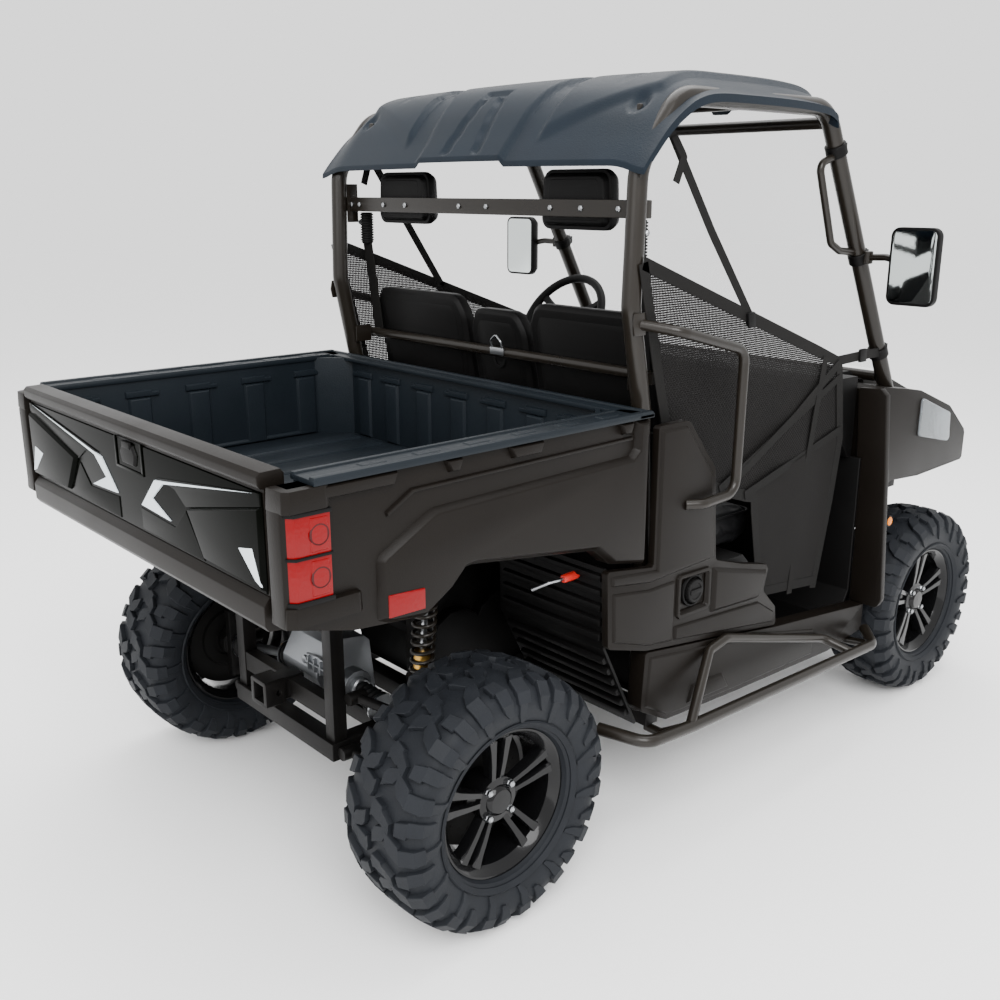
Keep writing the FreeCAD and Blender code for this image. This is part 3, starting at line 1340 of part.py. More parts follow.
def make_bed_frame():
    """Two channels and cross members under the tub, with the eyes of both hinges."""
    high = floor_top_bed - 15 - gap
    hinge_y, hinge_z = bed_hinge_y, bed_hinge_z
    pieces = both_sides(block(spot(-310, bed_front + 60, channel_low), spot(-270, tub_back - 20, high)))
    pieces += both_sides(bar(spot(-310, hinge_y, hinge_z), spot(-270, hinge_y, hinge_z), 44))
    pieces += both_sides(block(spot(-310, hinge_y - 22, hinge_z), spot(-270, hinge_y + 22, high)))
    for y, reach in ((bed_front + 100, 600), (rear_axle - 60, 600), (tub_back - 90, 650)):
        pieces.append(block(spot(-reach, y, high - 30), spot(reach, y + 40, high)))
    pieces += both_sides(block(spot(-tub_half - 10, tub_back - 90, gate_hinge_z - 14),
                               spot(-tub_half - 2, gate_hinge_y + 14, high)))
    body = welded(pieces)
    bores = both_sides(bore(spot(-320, hinge_y, hinge_z), spot(-260, hinge_y, hinge_z),
                            cells["hinge_pin_dia"] + 2 * gap))
    bores += both_sides(bore(spot(-tub_half - 20, gate_hinge_y, gate_hinge_z),
                             spot(-tub_half + 10, gate_hinge_y, gate_hinge_z), 16 + 2 * gap))
    return body.cut(Part.makeCompound(bores))


plain_node("bed_frame", [make_bed_frame()])

gate = new_body("tailgate_form")
gate_half = tub_half - 7
gate_low, gate_top = cells["gate_low"], cells["gate_top"]
skin_y = tail - 14
pad(gate, "XZ", gate_face, skin_y, [
    (-gate_half, gate_low + 20, 8), (gate_half, gate_low + 20, 8),
    (gate_half, gate_top, 10), (-gate_half, gate_top, 10)])
pad(gate, "YZ", -gate_half, gate_half, [
    (tail - 40, gate_low, 6), (tail, gate_low + 14, 8), (tail, gate_low + 60, 10),
    (tail - 14, gate_low + 76, 6), (tail - 40, gate_low + 76)])
pad(gate, "YZ", -gate_half, gate_half, [
    (gate_face, gate_top - 44), (tail - 12, gate_top - 36), (tail, gate_top - 28), (tail, gate_top, 12),
    (gate_face, gate_top, 12)])
for side in (-1, 1):
    # Arrow-shaped trim, then the faceted block beside it
    pad(gate, "XZ", skin_y - 1, skin_y + 4, [(side * x, z) for x, z in (
        (67, 1035), (162, 1115), (602, 1175), (243, 1115), (197, 1077), (231, 1029))])
    pad(gate, "XZ", skin_y - 1, skin_y + 9, [(side * x, z) for x, z in (
        (308, 1083), (622, 1150), (622, 980), (379, 980))])
pad(gate, "YZ", -gate_half - 16, gate_half + 16, ("ring", gate_hinge_y, gate_hinge_z, 8))
pocket(gate, "XZ", tail - 34, tail - 4, [(-83, 1112, 10), (51, 1112, 10), (51, 1180, 10), (-83, 1180, 10)])
node("tailgate", gate)

# Check every object, then write every sub-part

doc.recompute()
faults = [thing.Label for thing in doc.Objects if "Invalid" in thing.State or "Error" in thing.State]
for name, feature in nodes.items():
    shape = feature.Shape
    if shape.isNull() or not shape.isValid() or not shape.Solids:
        faults.append(f"shape of {name}")
if faults:
    raise ValueError("faulty: " + ", ".join(faults))

os.makedirs("parts", exist_ok=True)
for name, feature in nodes.items():
    feature.Shape.exportStep(os.path.join("parts", f"{name}.step"))
print(len(nodes), "sub-parts written")
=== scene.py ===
# %% [markdown]
# # Dressing a side by side utility vehicle
# The solids of the vehicle come in as a fixed frame. Each step below gives one part of it
# the shape and finish that the eye looks for: first the camera, then the finishes,
# then the wheels, the cargo bed, the roof, the cab and the small parts.

# %% Load the frame
import json
import math
import bmesh
import bpy
from mathutils import Matrix, Vector


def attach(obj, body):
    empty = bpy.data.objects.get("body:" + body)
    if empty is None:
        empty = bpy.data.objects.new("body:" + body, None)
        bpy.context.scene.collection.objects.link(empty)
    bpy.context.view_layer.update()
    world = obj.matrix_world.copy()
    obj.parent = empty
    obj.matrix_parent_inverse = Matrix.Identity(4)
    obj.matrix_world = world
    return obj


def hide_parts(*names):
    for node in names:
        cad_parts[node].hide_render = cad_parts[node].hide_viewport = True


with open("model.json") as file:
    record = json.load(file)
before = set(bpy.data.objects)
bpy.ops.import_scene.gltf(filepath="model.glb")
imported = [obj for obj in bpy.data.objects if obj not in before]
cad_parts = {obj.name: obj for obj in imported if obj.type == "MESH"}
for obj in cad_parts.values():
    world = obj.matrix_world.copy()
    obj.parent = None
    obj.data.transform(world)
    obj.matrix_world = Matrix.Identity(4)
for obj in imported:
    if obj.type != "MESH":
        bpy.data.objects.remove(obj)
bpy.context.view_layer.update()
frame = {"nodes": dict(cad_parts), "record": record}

# %% [markdown]
# ## Camera
# The vehicle is seen from behind its right-hand corner, from a little above the bed's rim.
# The place and the two angles below were fitted to the wheels and the bed.

# %% Camera
TURN, DROP = math.radians(48.252), math.radians(16.010)
EYE = (-2.4422, 2.4870, 1.7453)
LENS_MM, FILM_MM = 39.05, 36
camera_data = bpy.data.cameras.new("camera")
camera_data.lens = LENS_MM
camera_data.sensor_width = FILM_MM
camera = bpy.data.objects.new("camera", camera_data)
camera.location = EYE
look = Vector((math.sin(TURN) * math.cos(DROP), -math.cos(TURN) * math.cos(DROP), -math.sin(DROP)))
camera.rotation_euler = look.to_track_quat("-Z", "Y").to_euler()
bpy.context.scene.collection.objects.link(camera)
bpy.context.scene.camera = camera
print("camera at", tuple(camera.location))

# %% [markdown]
# ## Finishes
# Nearly everything is dark, so the finishes differ in gloss and grain more than in colour.
# Each one mixes two close shades by a slow noise, as dust and handling do,
# and has a fine bump for its grain, drawn a few millimetres wide so that it shows at this size.
# Moulded plastic has an index near 1.5, but its grain scatters the reflection, so the index is
# matched down until the panels look as dark.

# %% Colour and shader helpers
def linear(code):
    """sRGB hex to the linear colour that a shader wants."""
    parts = [int(code[i:i + 2], 16) / 255 for i in (0, 2, 4)]
    return [c / 12.92 if c <= 0.04045 else ((c + 0.055) / 1.055) ** 2.4 for c in parts] + [1.0]


def add_node(tree, kind, settings=None, **links):
    """Add one shader node and set its plain settings. Inputs are named, or are i and a number."""
    new = tree.nodes.new(kind)
    for key, value in (settings or {}).items():
        setattr(new, key, value)
    for key, value in links.items():
        by_number = key[0] == "i" and key[1:].isdigit()
        socket = new.inputs[int(key[1:]) if by_number else key.replace("_", " ")]
        if isinstance(value, bpy.types.NodeSocket):
            tree.links.new(value, socket)
        else:
            socket.default_value = value
    return new


def new_material(name):
    made = bpy.data.materials.new(name)
    made.use_nodes = True
    made.node_tree.nodes.clear()
    return made, made.node_tree


print("colour and shader helpers ready")

# %% A surface with grain
def grained(name, shade, worn, roughness, grain_mm, depth, metallic=0.0, coat=0.0, blotch_mm=180,
            spread=0.08, index=1.22):
    """A finish: two close shades in slow blotches, a fine grain bump and uneven gloss."""
    made, tree = new_material(name)
    place = add_node(tree, "ShaderNodeTexCoord")
    slow = add_node(tree, "ShaderNodeTexNoise", Vector=place.outputs["Object"], Scale=1000 / blotch_mm,
                    Detail=4.0)
    blend = add_node(tree, "ShaderNodeMix", {"data_type": "RGBA"}, Factor=slow.outputs["Fac"],
                     i6=linear(shade), i7=linear(worn))
    gloss = add_node(tree, "ShaderNodeMapRange", Value=slow.outputs["Fac"],
                     To_Min=roughness - spread, To_Max=roughness + spread)
    fine = add_node(tree, "ShaderNodeTexNoise", Vector=place.outputs["Object"], Scale=1000 / grain_mm,
                    Detail=3.0)
    bump = add_node(tree, "ShaderNodeBump", Height=fine.outputs["Fac"], Strength=depth,
                    Distance=grain_mm / 2000)
    shader = add_node(tree, "ShaderNodeBsdfPrincipled", Base_Color=blend.outputs[2],
                      Roughness=gloss.outputs[0], Metallic=metallic, Coat_Weight=coat,
                      IOR=1.5 if metallic == 1.0 else index, Normal=bump.outputs[0])
    add_node(tree, "ShaderNodeOutputMaterial", Surface=shader.outputs[0])
    return made


print("a surface with grain ready")

# %% Plastics
# Polypropylene body panels, injection moulded: a fine matte grain, a brown-black that reads warm
body_plastic = grained("moulded_polypropylene_charcoal", "0e0b09", "13100d", 0.38, 3.0, 0.25, index=1.2)
# Gloss ABS inset of the tailgate: nearly black with a green-grey tone, and a clear reflection
gloss_abs = grained("gloss_abs_black", "010201", "030402", 0.18, 6.0, 0.02, spread=0.03, index=1.1)
# Polyethylene bed liner, rotomoulded: blue-black with a leathery grain
bed_plastic = grained("rotomoulded_polyethylene_slate", "101519", "171c21", 0.45, 3.5, 0.35)
# ABS roof sheet with a coarse grain, thermoformed: blue-grey with a broad sheen
roof_plastic = grained("thermoformed_abs_slate", "0c131a", "121b24", 0.42, 4.0, 0.3, index=1.22)
# Plain black polypropylene of the cab and liners
cabin_plastic = grained("moulded_polypropylene_black", "060606", "0a0909", 0.48, 3.0, 0.25, index=1.2)
print("plastics ready")

# %% Metals and their coats
# Powder-coated steel tube: satin with a slight orange peel
cage_coat = grained("satin_powder_coat_bronze_black", "15120f", "1d1914", 0.3, 5.0, 0.10, metallic=0.1,
                    coat=0.05, index=1.35)
# Powder-coated chassis steel with road dust
frame_coat = grained("powder_coat_black_dusty", "0c0c0d", "161412", 0.48, 4.0, 0.15, metallic=0.2)
# As-cast aluminium: grainy and dull
cast_alloy = grained("cast_aluminium", "7d8083", "96989b", 0.45, 3.0, 0.35, metallic=1.0)
# Zinc-plated steel bolts and shafts
bright_steel = grained("zinc_plated_steel", "8a8c8f", "a9abad", 0.3, 4.0, 0.1, metallic=1.0)
# Painted cast iron
cast_iron = grained("painted_cast_iron", "121212", "1a1918", 0.55, 2.5, 0.4, metallic=0.3)
# Gloss black wheel paint over cast alloy
wheel_paint = grained("gloss_wheel_paint_black", "0b0b0c", "101011", 0.2, 8.0, 0.03, metallic=0.2,
                      coat=0.25, spread=0.04)
print("metals and their coats ready")

# %% Rubber, trim and vinyl
# Vulcanised tyre rubber: matte, bluish where it is dusty
tyre_rubber = grained("vulcanised_tyre_rubber", "141619", "1f2125", 0.58, 4.0, 0.3, blotch_mm=60)
# Soft moulded rubber of boots and grips
soft_rubber = grained("moulded_rubber", "0b0b0b", "111111", 0.55, 2.0, 0.2)
# Anodised shock body
gold_anodised = grained("gold_anodised_aluminium", "a07a35", "bd9650", 0.3, 4.0, 0.05, metallic=1.0)
# Silver-painted trim of the tailgate
silver_trim = grained("satin_silver_trim", "c9d3d8", "d9e1e4", 0.3, 6.0, 0.05, metallic=0.15)
# Silvered glass of the mirrors
mirror_glass = grained("silvered_mirror_glass", "c9d0cf", "d3d9d8", 0.06, 20.0, 0.01, metallic=1.0,
                       spread=0.02)
# Red paint of the release lever's grip
lever_red = grained("dipped_vinyl_red", "b3211c", "c22a22", 0.35, 4.0, 0.05, coat=0.3)
# Grained vinyl skin of the seats
seat_vinyl = grained("calendered_seat_vinyl", "0f0f10", "161617", 0.45, 2.5, 0.5, blotch_mm=90)
print("grained finishes ready")

# %% [markdown]
# ### Clear and coloured lenses
# Lamp lenses are acrylic with small prisms inside. The prisms are drawn as a fine cell bump,
# so the light breaks up as it does in a real lens.

# %% Lens finishes
def lens(name, shade, prism_mm, clear, roughness, painted_glow=0.0):
    """Acrylic or polycarbonate, partly clear, with a cell bump for its prisms. A painted glow, if given, is
    emission in its own shade: painted light, not a lit lamp.
    """
    made, tree = new_material(name)
    place = add_node(tree, "ShaderNodeTexCoord")
    cells = add_node(tree, "ShaderNodeTexVoronoi", Vector=place.outputs["Object"], Scale=1000 / prism_mm)
    bump = add_node(tree, "ShaderNodeBump", Height=cells.outputs["Distance"], Strength=0.2,
                    Distance=prism_mm / 4000)
    shader = add_node(tree, "ShaderNodeBsdfPrincipled", Base_Color=linear(shade), Roughness=roughness,
                      IOR=1.5, Transmission_Weight=clear, Specular_IOR_Level=0.2, Normal=bump.outputs[0],
                      Emission_Color=linear(shade), Emission_Strength=painted_glow)
    add_node(tree, "ShaderNodeOutputMaterial", Surface=shader.outputs[0])
    return made


# Red acrylic, deep. A little painted glow, which is painted light, stands for the light that its reflector
# sends back
red_lens_painted_glow = lens("moulded_acrylic_red_painted_glow", "4c0002", 9, 0.0, 0.25, painted_glow=3.0)
# Round reflector dishes seen through the red lens, with a weaker painted glow for the light that they send
# back
deep_red_lens_painted_glow = lens("moulded_acrylic_deep_red_painted_glow", "2a0001", 5, 0.0, 0.25, painted_glow=2.0)
# Amber acrylic of the side markers
amber_lens = lens("moulded_acrylic_amber", "e07f1e", 6, 0.1, 0.18)
# Clear lamp cover: pale, with faint facets
clear_lens = lens("moulded_polycarbonate_clear", "dfe5e8", 14, 0.9, 0.05)
print("lens finishes ready")

# %% Windshield sheet's finish
# It is a thin clear sheet: almost nothing but its reflection and a faint cool tint
clear_sheet, tree = new_material("extruded_polycarbonate_sheet")
place = add_node(tree, "ShaderNodeTexCoord")
haze = add_node(tree, "ShaderNodeTexNoise", Vector=place.outputs["Object"], Scale=6.0, Detail=2.0)
haze_gloss = add_node(tree, "ShaderNodeMapRange", Value=haze.outputs["Fac"], To_Min=0.02, To_Max=0.08)
shader = add_node(tree, "ShaderNodeBsdfPrincipled", Base_Color=linear("f4f8fa"),
                  Roughness=haze_gloss.outputs[0], IOR=1.2, Alpha=0.09)
add_node(tree, "ShaderNodeOutputMaterial", Surface=shader.outputs[0])
print("windshield finish ready")

# %% [markdown]
# ### Cloth
# Webbing is a tight rib weave, and the side net is an open knit. The net's holes are drawn
# about 6 mm apart, since finer ones would only show as grey.

# %% Cloth finishes
def woven(name, shade, thread_mm, hole=0.0):
    """Two crossed thread patterns. Above zero, hole opens the cells between the threads."""
    made, tree = new_material(name)
    place = add_node(tree, "ShaderNodeTexCoord")
    scale = 1000 / thread_mm / 2
    split = add_node(tree, "ShaderNodeSeparateXYZ", Vector=place.outputs["Object"])
    turns = [add_node(tree, "ShaderNodeMath", {"operation": "MULTIPLY"}, i0=split.outputs[axis],
                      i1=scale * math.pi * 2)
             for axis in (1, 2)]
    waves = [add_node(tree, "ShaderNodeMath", {"operation": "SINE"}, i0=turn.outputs[0]) for turn in turns]
    weave = add_node(tree, "ShaderNodeMath", {"operation": "MULTIPLY"}, i0=waves[0].outputs[0],
                     i1=waves[1].outputs[0])
    bump = add_node(tree, "ShaderNodeBump", Height=weave.outputs[0], Strength=0.5,
                    Distance=thread_mm / 4000)
    slow = add_node(tree, "ShaderNodeTexNoise", Vector=place.outputs["Object"], Scale=9.0, Detail=3.0)
    shades = add_node(tree, "ShaderNodeMix", {"data_type": "RGBA"}, Factor=slow.outputs["Fac"],
                      i6=linear(shade), i7=linear("0f0d0c"))
    shader = add_node(tree, "ShaderNodeBsdfPrincipled", Base_Color=shades.outputs[2], Roughness=0.75,
                      Specular_IOR_Level=0.15, Normal=bump.outputs[0])
    if hole:
        edge = add_node(tree, "ShaderNodeMath", {"operation": "ABSOLUTE"}, i0=weave.outputs[0])
        solid = add_node(tree, "ShaderNodeMath", {"operation": "LESS_THAN"}, i0=edge.outputs[0],
                         i1=1 - hole)
        tree.links.new(solid.outputs[0], shader.inputs["Alpha"])
    add_node(tree, "ShaderNodeOutputMaterial", Surface=shader.outputs[0])
    return made


# Polyester webbing: a dull rib weave
webbing = woven("woven_polyester_webbing", "0c0c0b", 2.0)
# Knitted polyester net: dark threads round open cells
net_cloth = woven("knitted_polyester_net", "060505", 6.0, hole=0.17)
# Coated pocket cloth, closed but thin
pocket_cloth = woven("coated_polyester_cloth", "080706", 2.5)
print("cloth finishes ready")

# %% [markdown]
# ## Making shapes
# Three small builders make nearly every piece: a bevelled plate from an outline, whose edges
# slope if its far face is smaller, a bent round tube, and a turned form. They work on one mesh
# until it is handed over with a finish and a body to ride on. Millimetres go in, metres come out.

# %% Shared sizes, in millimetres
FRONT_AXLE, REAR_AXLE, HUB_Z = -1050, 950, 330
CAGE_X = 640  # axis of the cage's side tubes
SEAT_X = 374  # middle of an outer seat
PILLAR_RUN, PILLAR_RISE = 457, 819  # slope of the windshield's pillars
SIDES = (-1, 1)
print("axles at", FRONT_AXLE, "and", REAR_AXLE, "hubs at", HUB_Z)

# %% Points, rectangles and bevels
def at(x, y, z):
    return Vector((x, y, z)) / 1000


def rect(u0, v0, u1, v1):
    """Outline of a rectangle between two corners."""
    return [(u0, v0), (u1, v0), (u1, v1), (u0, v1)]


def circle(count, start=0.0):
    """Evenly spaced angles of one turn."""
    return [start + 2 * math.pi * k / count for k in range(count)]


def bevel_new(shape, faces, width_mm, steps=2, sharp=25):
    """Bevel the sharp edges of some faces."""
    bmesh.ops.recalc_face_normals(shape, faces=faces)
    found = [edge for face in faces for edge in face.edges
             if len(edge.link_faces) == 2 and edge.calc_face_angle(0) > math.radians(sharp)]
    edges = list(dict.fromkeys(found))  # each edge once, in the same order every time
    if width_mm and edges:
        bmesh.ops.bevel(shape, geom=edges, offset=width_mm / 1000, segments=steps, profile=0.6,
                        affect="EDGES", clamp_overlap=True)


print("points, rectangles and bevels ready")

# %% Faces, outlines and plates
def skin(shape, rings, closed=False, caps=True):
    """Faces between rings of points. Closed joins the last ring to the first."""
    rows = [[shape.verts.new(point) for point in ring] for ring in rings]
    faces = []
    pairs = list(zip(rows, rows[1:])) + ([(rows[-1], rows[0])] if closed else [])
    for near, far in pairs:
        for k in range(len(near)):
            after = (k + 1) % len(near)
            faces.append(shape.faces.new((near[k], near[after], far[after], far[k])))
    if caps and not closed:
        faces.append(shape.faces.new(rows[0][::-1]))
        faces.append(shape.faces.new(rows[-1]))
    return faces


def sheet_between(shape, rows):
    """Open sheet over rows of points."""
    rows = [[shape.verts.new(point) for point in row] for row in rows]
    return [shape.faces.new((near[k], near[k + 1], far[k + 1], far[k]))
            for near, far in zip(rows, rows[1:]) for k in range(len(near) - 1)]


def upright(axis, u, v, depth):
    """A point from an outline's two numbers and its depth along an axis."""
    return {"x": at(depth, u, v), "y": at(u, depth, v), "z": at(u, v, depth)}[axis]


def shrunk(outline, inset):
    """The outline moved inwards by a distance, corner by corner."""
    area = sum(a[0] * b[1] - b[0] * a[1] for a, b in zip(outline, outline[1:] + outline[:1]))
    turn = 1 if area > 0 else -1
    moved = []
    for i, here in enumerate(outline):
        a, b = Vector(outline[i - 1]), Vector(outline[(i + 1) % len(outline)])
        here = Vector(here)
        into, away = (here - a).normalized(), (b - here).normalized()
        normal_in = Vector((-into.y, into.x)) * turn
        normal_out = Vector((-away.y, away.x)) * turn
        corner = (normal_in + normal_out).normalized()
        moved.append(here + corner * min(inset / max(corner.dot(normal_in), 0.35), inset * 2.2))
    return [tuple(point) for point in moved]


def plate(shape, axis, outline, low, high, bevel=3.0, inset=0.0):
    """Closed form between two depths. With an inset, its far face is smaller, so its edges slope."""
    top = shrunk(outline, inset) if inset else outline
    faces = skin(shape, [[upright(axis, u, v, low) for u, v in outline],
                         [upright(axis, u, v, high) for u, v in top]])
    bevel_new(shape, faces, bevel)


print("faces, outlines and plates ready")

# %% Tubes
def smooth_path(places, bend, steps=7):
    """Straight runs with each corner as an arc, in millimetres."""
    path = [places[0]]
    for before, corner, after in zip(places, places[1:], places[2:]):
        back, ahead = (before - corner).normalized(), (after - corner).normalized()
        half = back.angle(ahead) / 2
        if half > math.radians(88.5):
            path.append(corner)
            continue
        reach = min(bend / math.tan(half), (before - corner).length * 0.49, (after - corner).length * 0.49)
        radius = reach * math.tan(half)
        centre = corner + (back + ahead).normalized() * (radius / math.sin(half))
        first, last = corner + back * reach - centre, corner + ahead * reach - centre
        for step in range(steps + 1):
            path.append(centre + first.normalized().slerp(last.normalized(), step / steps) * radius)
    return path + [places[-1]]


def directions(path):
    """Direction of a path at each of its places."""
    runs = [(b - a).normalized() for a, b in zip(path, path[1:])]
    return [runs[0]] + [(a + b).normalized() for a, b in zip(runs, runs[1:])] + [runs[-1]]


def square_to(way):
    """A direction square to another one."""
    return way.cross(Vector((0, 0, 1)) if abs(way.z) < 0.9 else Vector((1, 0, 0))).normalized()


def tube(shape, places, diameter, bend=0.0, sides=20):
    """Round tube along places, each corner bent to a radius."""
    path = [Vector(place) for place in places]
    path = smooth_path(path, bend) if bend else path
    ways = directions(path)
    side = square_to(ways[0])
    rings = []
    for place, way in zip(path, ways):
        side = (side - way * side.dot(way)).normalized()
        up = way.cross(side)
        rings.append([(place + (side * math.cos(angle) + up * math.sin(angle)) * diameter / 2) / 1000
                      for angle in circle(sides)])
    faces = skin(shape, rings)
    bevel_new(shape, faces, min(1.5, diameter / 8), 1, sharp=60)


print("tubes ready")

# %% Turned forms and mirror images
def turned(shape, profile, centre, sides=48, axis="x", closed=False):
    """Form turned about an axis from (along, radius) pairs, in millimetres."""
    rings = []
    for along, radius in profile:
        ring = []
        for angle in circle(sides):
            c, s = radius * math.cos(angle), radius * math.sin(angle)
            offset = {"x": (along, c, s), "y": (c, along, s), "z": (c, s, along)}[axis]
            ring.append((Vector(centre) + Vector(offset)) / 1000)
        rings.append(ring)
    faces = skin(shape, rings, closed=closed)
    bmesh.ops.recalc_face_normals(shape, faces=faces)


def both_sides(shape):
    """Add the mirror image across the vehicle's middle."""
    copied = bmesh.ops.duplicate(shape, geom=shape.verts[:] + shape.edges[:] + shape.faces[:])["geom"]
    verts = [item for item in copied if isinstance(item, bmesh.types.BMVert)]
    for vert in verts:
        vert.co.x = -vert.co.x
    bmesh.ops.reverse_faces(shape, faces=[item for item in copied if isinstance(item, bmesh.types.BMFace)])


print("turned forms and mirror images ready")

# %% Handing a piece over
def new_piece(name, shape):
    """Turn a mesh that is being worked on into an object of the scene."""
    mesh = bpy.data.meshes.new(name)
    shape.to_mesh(mesh)
    shape.free()
    piece = bpy.data.objects.new(name, mesh)
    bpy.context.scene.collection.objects.link(piece)
    return piece


def dress(piece, finish, body, *stands_for):
    """Give a piece its finish and the body that it rides, and hide the CAD nodes that it stands for."""
    mesh = piece.data
    mesh.materials.append(finish)
    mesh.polygons.foreach_set("use_smooth", [True] * len(mesh.polygons))
    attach(piece, body)
    if stands_for:
        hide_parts(*stands_for)
    print(piece.name, len(mesh.polygons), "faces")
    return piece


def hand_over(name, shape, finish, body, *stands_for, smooth=35, mirror=False):
    """Finish a mesh that is being worked on. With mirror, the other side is added first."""
    if mirror:
        both_sides(shape)
    piece = new_piece(name, shape)
    dress(piece, finish, body, *stands_for)
    piece.data.set_sharp_from_angle(angle=math.radians(smooth))
    return piece


print("handing a piece over ready")

# %% Soft edges on a plain solid
BODIES = frame["record"]["behaviour"]["bodies"]
BODY_OF = {node: body for body, members in BODIES.items() for node in members}


def softened(node, finish, width_mm=3.0):
    """A copy of a plain solid with flat faces joined and its sharp edges rounded, which stands for it."""
    shape = bmesh.new()
    shape.from_mesh(frame["nodes"][node].data)
    bmesh.ops.remove_doubles(shape, verts=shape.verts, dist=0.00005)
    bmesh.ops.dissolve_limit(shape, angle_limit=math.radians(1.0), verts=shape.verts, edges=shape.edges)
    bevel_new(shape, shape.faces[:], width_mm, 2, sharp=20)
    return hand_over(node + "_soft", shape, finish, BODY_OF[node], node, smooth=40)


print("soft edges ready for", len(BODY_OF), "nodes")

# %% [markdown]
# ## Tyres
# An off-road tyre is a wide low carcass with tall rubber lugs that wrap from the tread onto the
# sidewall. It could be sculpted, but the pattern repeats round the axle, so one pitch of lugs is
# described once. Each lug is a strip that follows the carcass's own profile, raised along its
# normal, with sloping flanks as the mould leaves them.

# %% Tyre sizes and section
PITCHES = 15  # lugs of each kind round one side
LUG_TALL = 15
TYRE_RADIUS = 330
BEAD = 178
# The lugs of one pitch. Each has the share of a pitch that it sits further on, in halves, and its
# stations as (distance from the crown, twist, width, share of the height).
LUGS = (
    # Long lug: from near the middle over the shoulder to a point on the sidewall
    (0, ((58, -0.9, 36, 1), (72, -0.5, 48, 1), (98, 0, 50, 1), (99, 0.12, 44, 1), (128, 0.15, 48, 0.95),
         (152, 0.1, 48, 0.62), (153, 0.2, 34, 0.55), (184, 0.1, 30, 0.42), (204, -0.25, 16, 0.3))),
    # Short lug between the long ones
    (1, ((84, 0.2, 36, 1), (112, 0.05, 46, 1), (113, -0.08, 40, 1), (140, -0.1, 42, 0.75),
         (160, -0.2, 32, 0.45), (176, -0.45, 18, 0.35))),
    # Two centre blocks, slanted across the middle
    (0, ((2, 1.9, 30, 1), (10, 1.6, 44, 1), (40, 1.9, 46, 1), (41, 2.0, 34, 1), (68, 2.6, 30, 0.97))),
    (1, ((14, 1.6, 34, 1), (24, 1.3, 42, 1), (50, 1.0, 40, 1), (66, 0.5, 24, 0.97))),
)


def carcass_profile(half, seat):
    """Half of the tyre's section: crown, shoulder, bulging sidewall and bead, as (x, radius)."""
    crown = TYRE_RADIUS - LUG_TALL
    return [(0, crown), (half * 0.3, crown - 0.5), (half * 0.55, crown - 3), (half * 0.72, crown - 8),
            (half * 0.84, crown - 17), (half * 0.92, crown - 31), (half * 0.955, crown - 50),
            (half * 0.95, crown - 70), (half * 0.91, crown - 88), (half * 0.84, BEAD + 26),
            (half * 0.79, BEAD + 17), (seat + 5, BEAD + 13), (seat + 1, BEAD + 9), (seat - 1, BEAD + 1)]


print("tyre sizes and section ready")

# %% One lug
def along_profile(profile, distance):
    """Place and outward normal at a distance along the profile from the crown."""
    for (x0, r0), (x1, r1) in zip(profile, profile[1:]):
        length = math.hypot(x1 - x0, r1 - r0)
        if distance <= length or (x1, r1) == profile[-1]:
            part = min(distance / length, 1)
            return x0 + (x1 - x0) * part, r0 + (r1 - r0) * part, -(r1 - r0) / length, (x1 - x0) / length
        distance -= length


def lug(shape, profile, hub, side, stations, tall=LUG_TALL):
    """One lug from stations of (distance from the crown, middle angle, width, share of the height)."""
    rings = []
    for distance, angle, wide, share in stations:
        x, radius, out_x, out_r = along_profile(profile, distance)
        ring = []
        for across, up in ((-0.5, -2), (-0.46, tall * share - 1.5), (-0.42, tall * share),
                           (0.42, tall * share), (0.46, tall * share - 1.5), (0.5, -2)):
            turn = angle + across * wide / TYRE_RADIUS
            r = radius + out_r * up
            ring.append(at(hub[0] + side * (x + out_x * up), hub[1] + r * math.cos(turn),
                           hub[2] + r * math.sin(turn)))
        rings.append(ring)
    faces = skin(shape, rings)
    bmesh.ops.recalc_face_normals(shape, faces=faces)


print("one lug ready")

# %% Whole tyres
def make_tyre(corner, hub, half, seat):
    """Carcass, shoulder lugs in two sizes, centre blocks and the rim guard."""
    shape = bmesh.new()
    profile = carcass_profile(half, seat)
    loop = profile + [(seat - 1, BEAD + 0.2), (1 - seat, BEAD + 0.2)]
    loop += [(-x, r) for x, r in reversed(profile[1:])]
    turned(shape, loop, hub, 120, closed=True)
    reach = half / 140  # the lugs were drawn for the rear tyre, whose half width is 140
    guard = ((half * 0.9, BEAD + 40), (half * 0.925, BEAD + 36), (half * 0.86, BEAD + 24),
             (half * 0.8, BEAD + 24))
    for side in SIDES:
        turned(shape, [(side * x, r) for x, r in guard], hub, 120, closed=True)
        lean = side * 0.1
        for pitch in range(PITCHES):
            start = 2 * math.pi * (pitch + (0.5 if side > 0 else 0)) / PITCHES
            for halves, stations in LUGS:
                middle = start + halves * math.pi / PITCHES
                lug(shape, profile, hub, side, [(distance * reach, middle + lean * twist, wide, share)
                                                for distance, twist, wide, share in stations])
    return hand_over("tyre_" + corner + "_rubber", shape, tyre_rubber, "wheel_" + corner, "tyre_" + corner,
                     smooth=30)


# Each wheel's hub, half the tyre's width, and half the width between the rim's bead seats
WHEELS = {
    "front_left": ((655, FRONT_AXLE, HUB_Z), 115, 77), "front_right": ((-655, FRONT_AXLE, HUB_Z), 115, 77),
    "rear_left": ((640, REAR_AXLE, HUB_Z), 140, 92), "rear_right": ((-640, REAR_AXLE, HUB_Z), 140, 92),
}
for corner, (hub, half, seat) in WHEELS.items():
    make_tyre(corner, hub, half, seat)

# %% [markdown]
# ## Rims
# The rim is cast aluminium in gloss black: a barrel with two lips and five pairs of prongs with
# a narrow gap inside each pair. Each prong is a tapered bar that dips toward the hub, so it is
# built from a few sections along its length. The nuts and the cap are separate, as on the real wheel.

# %% Rims
NUT_CIRCLE = 49  # radius on which the nuts sit
RIM_LIP = 8  # the lip beyond the bead's seat


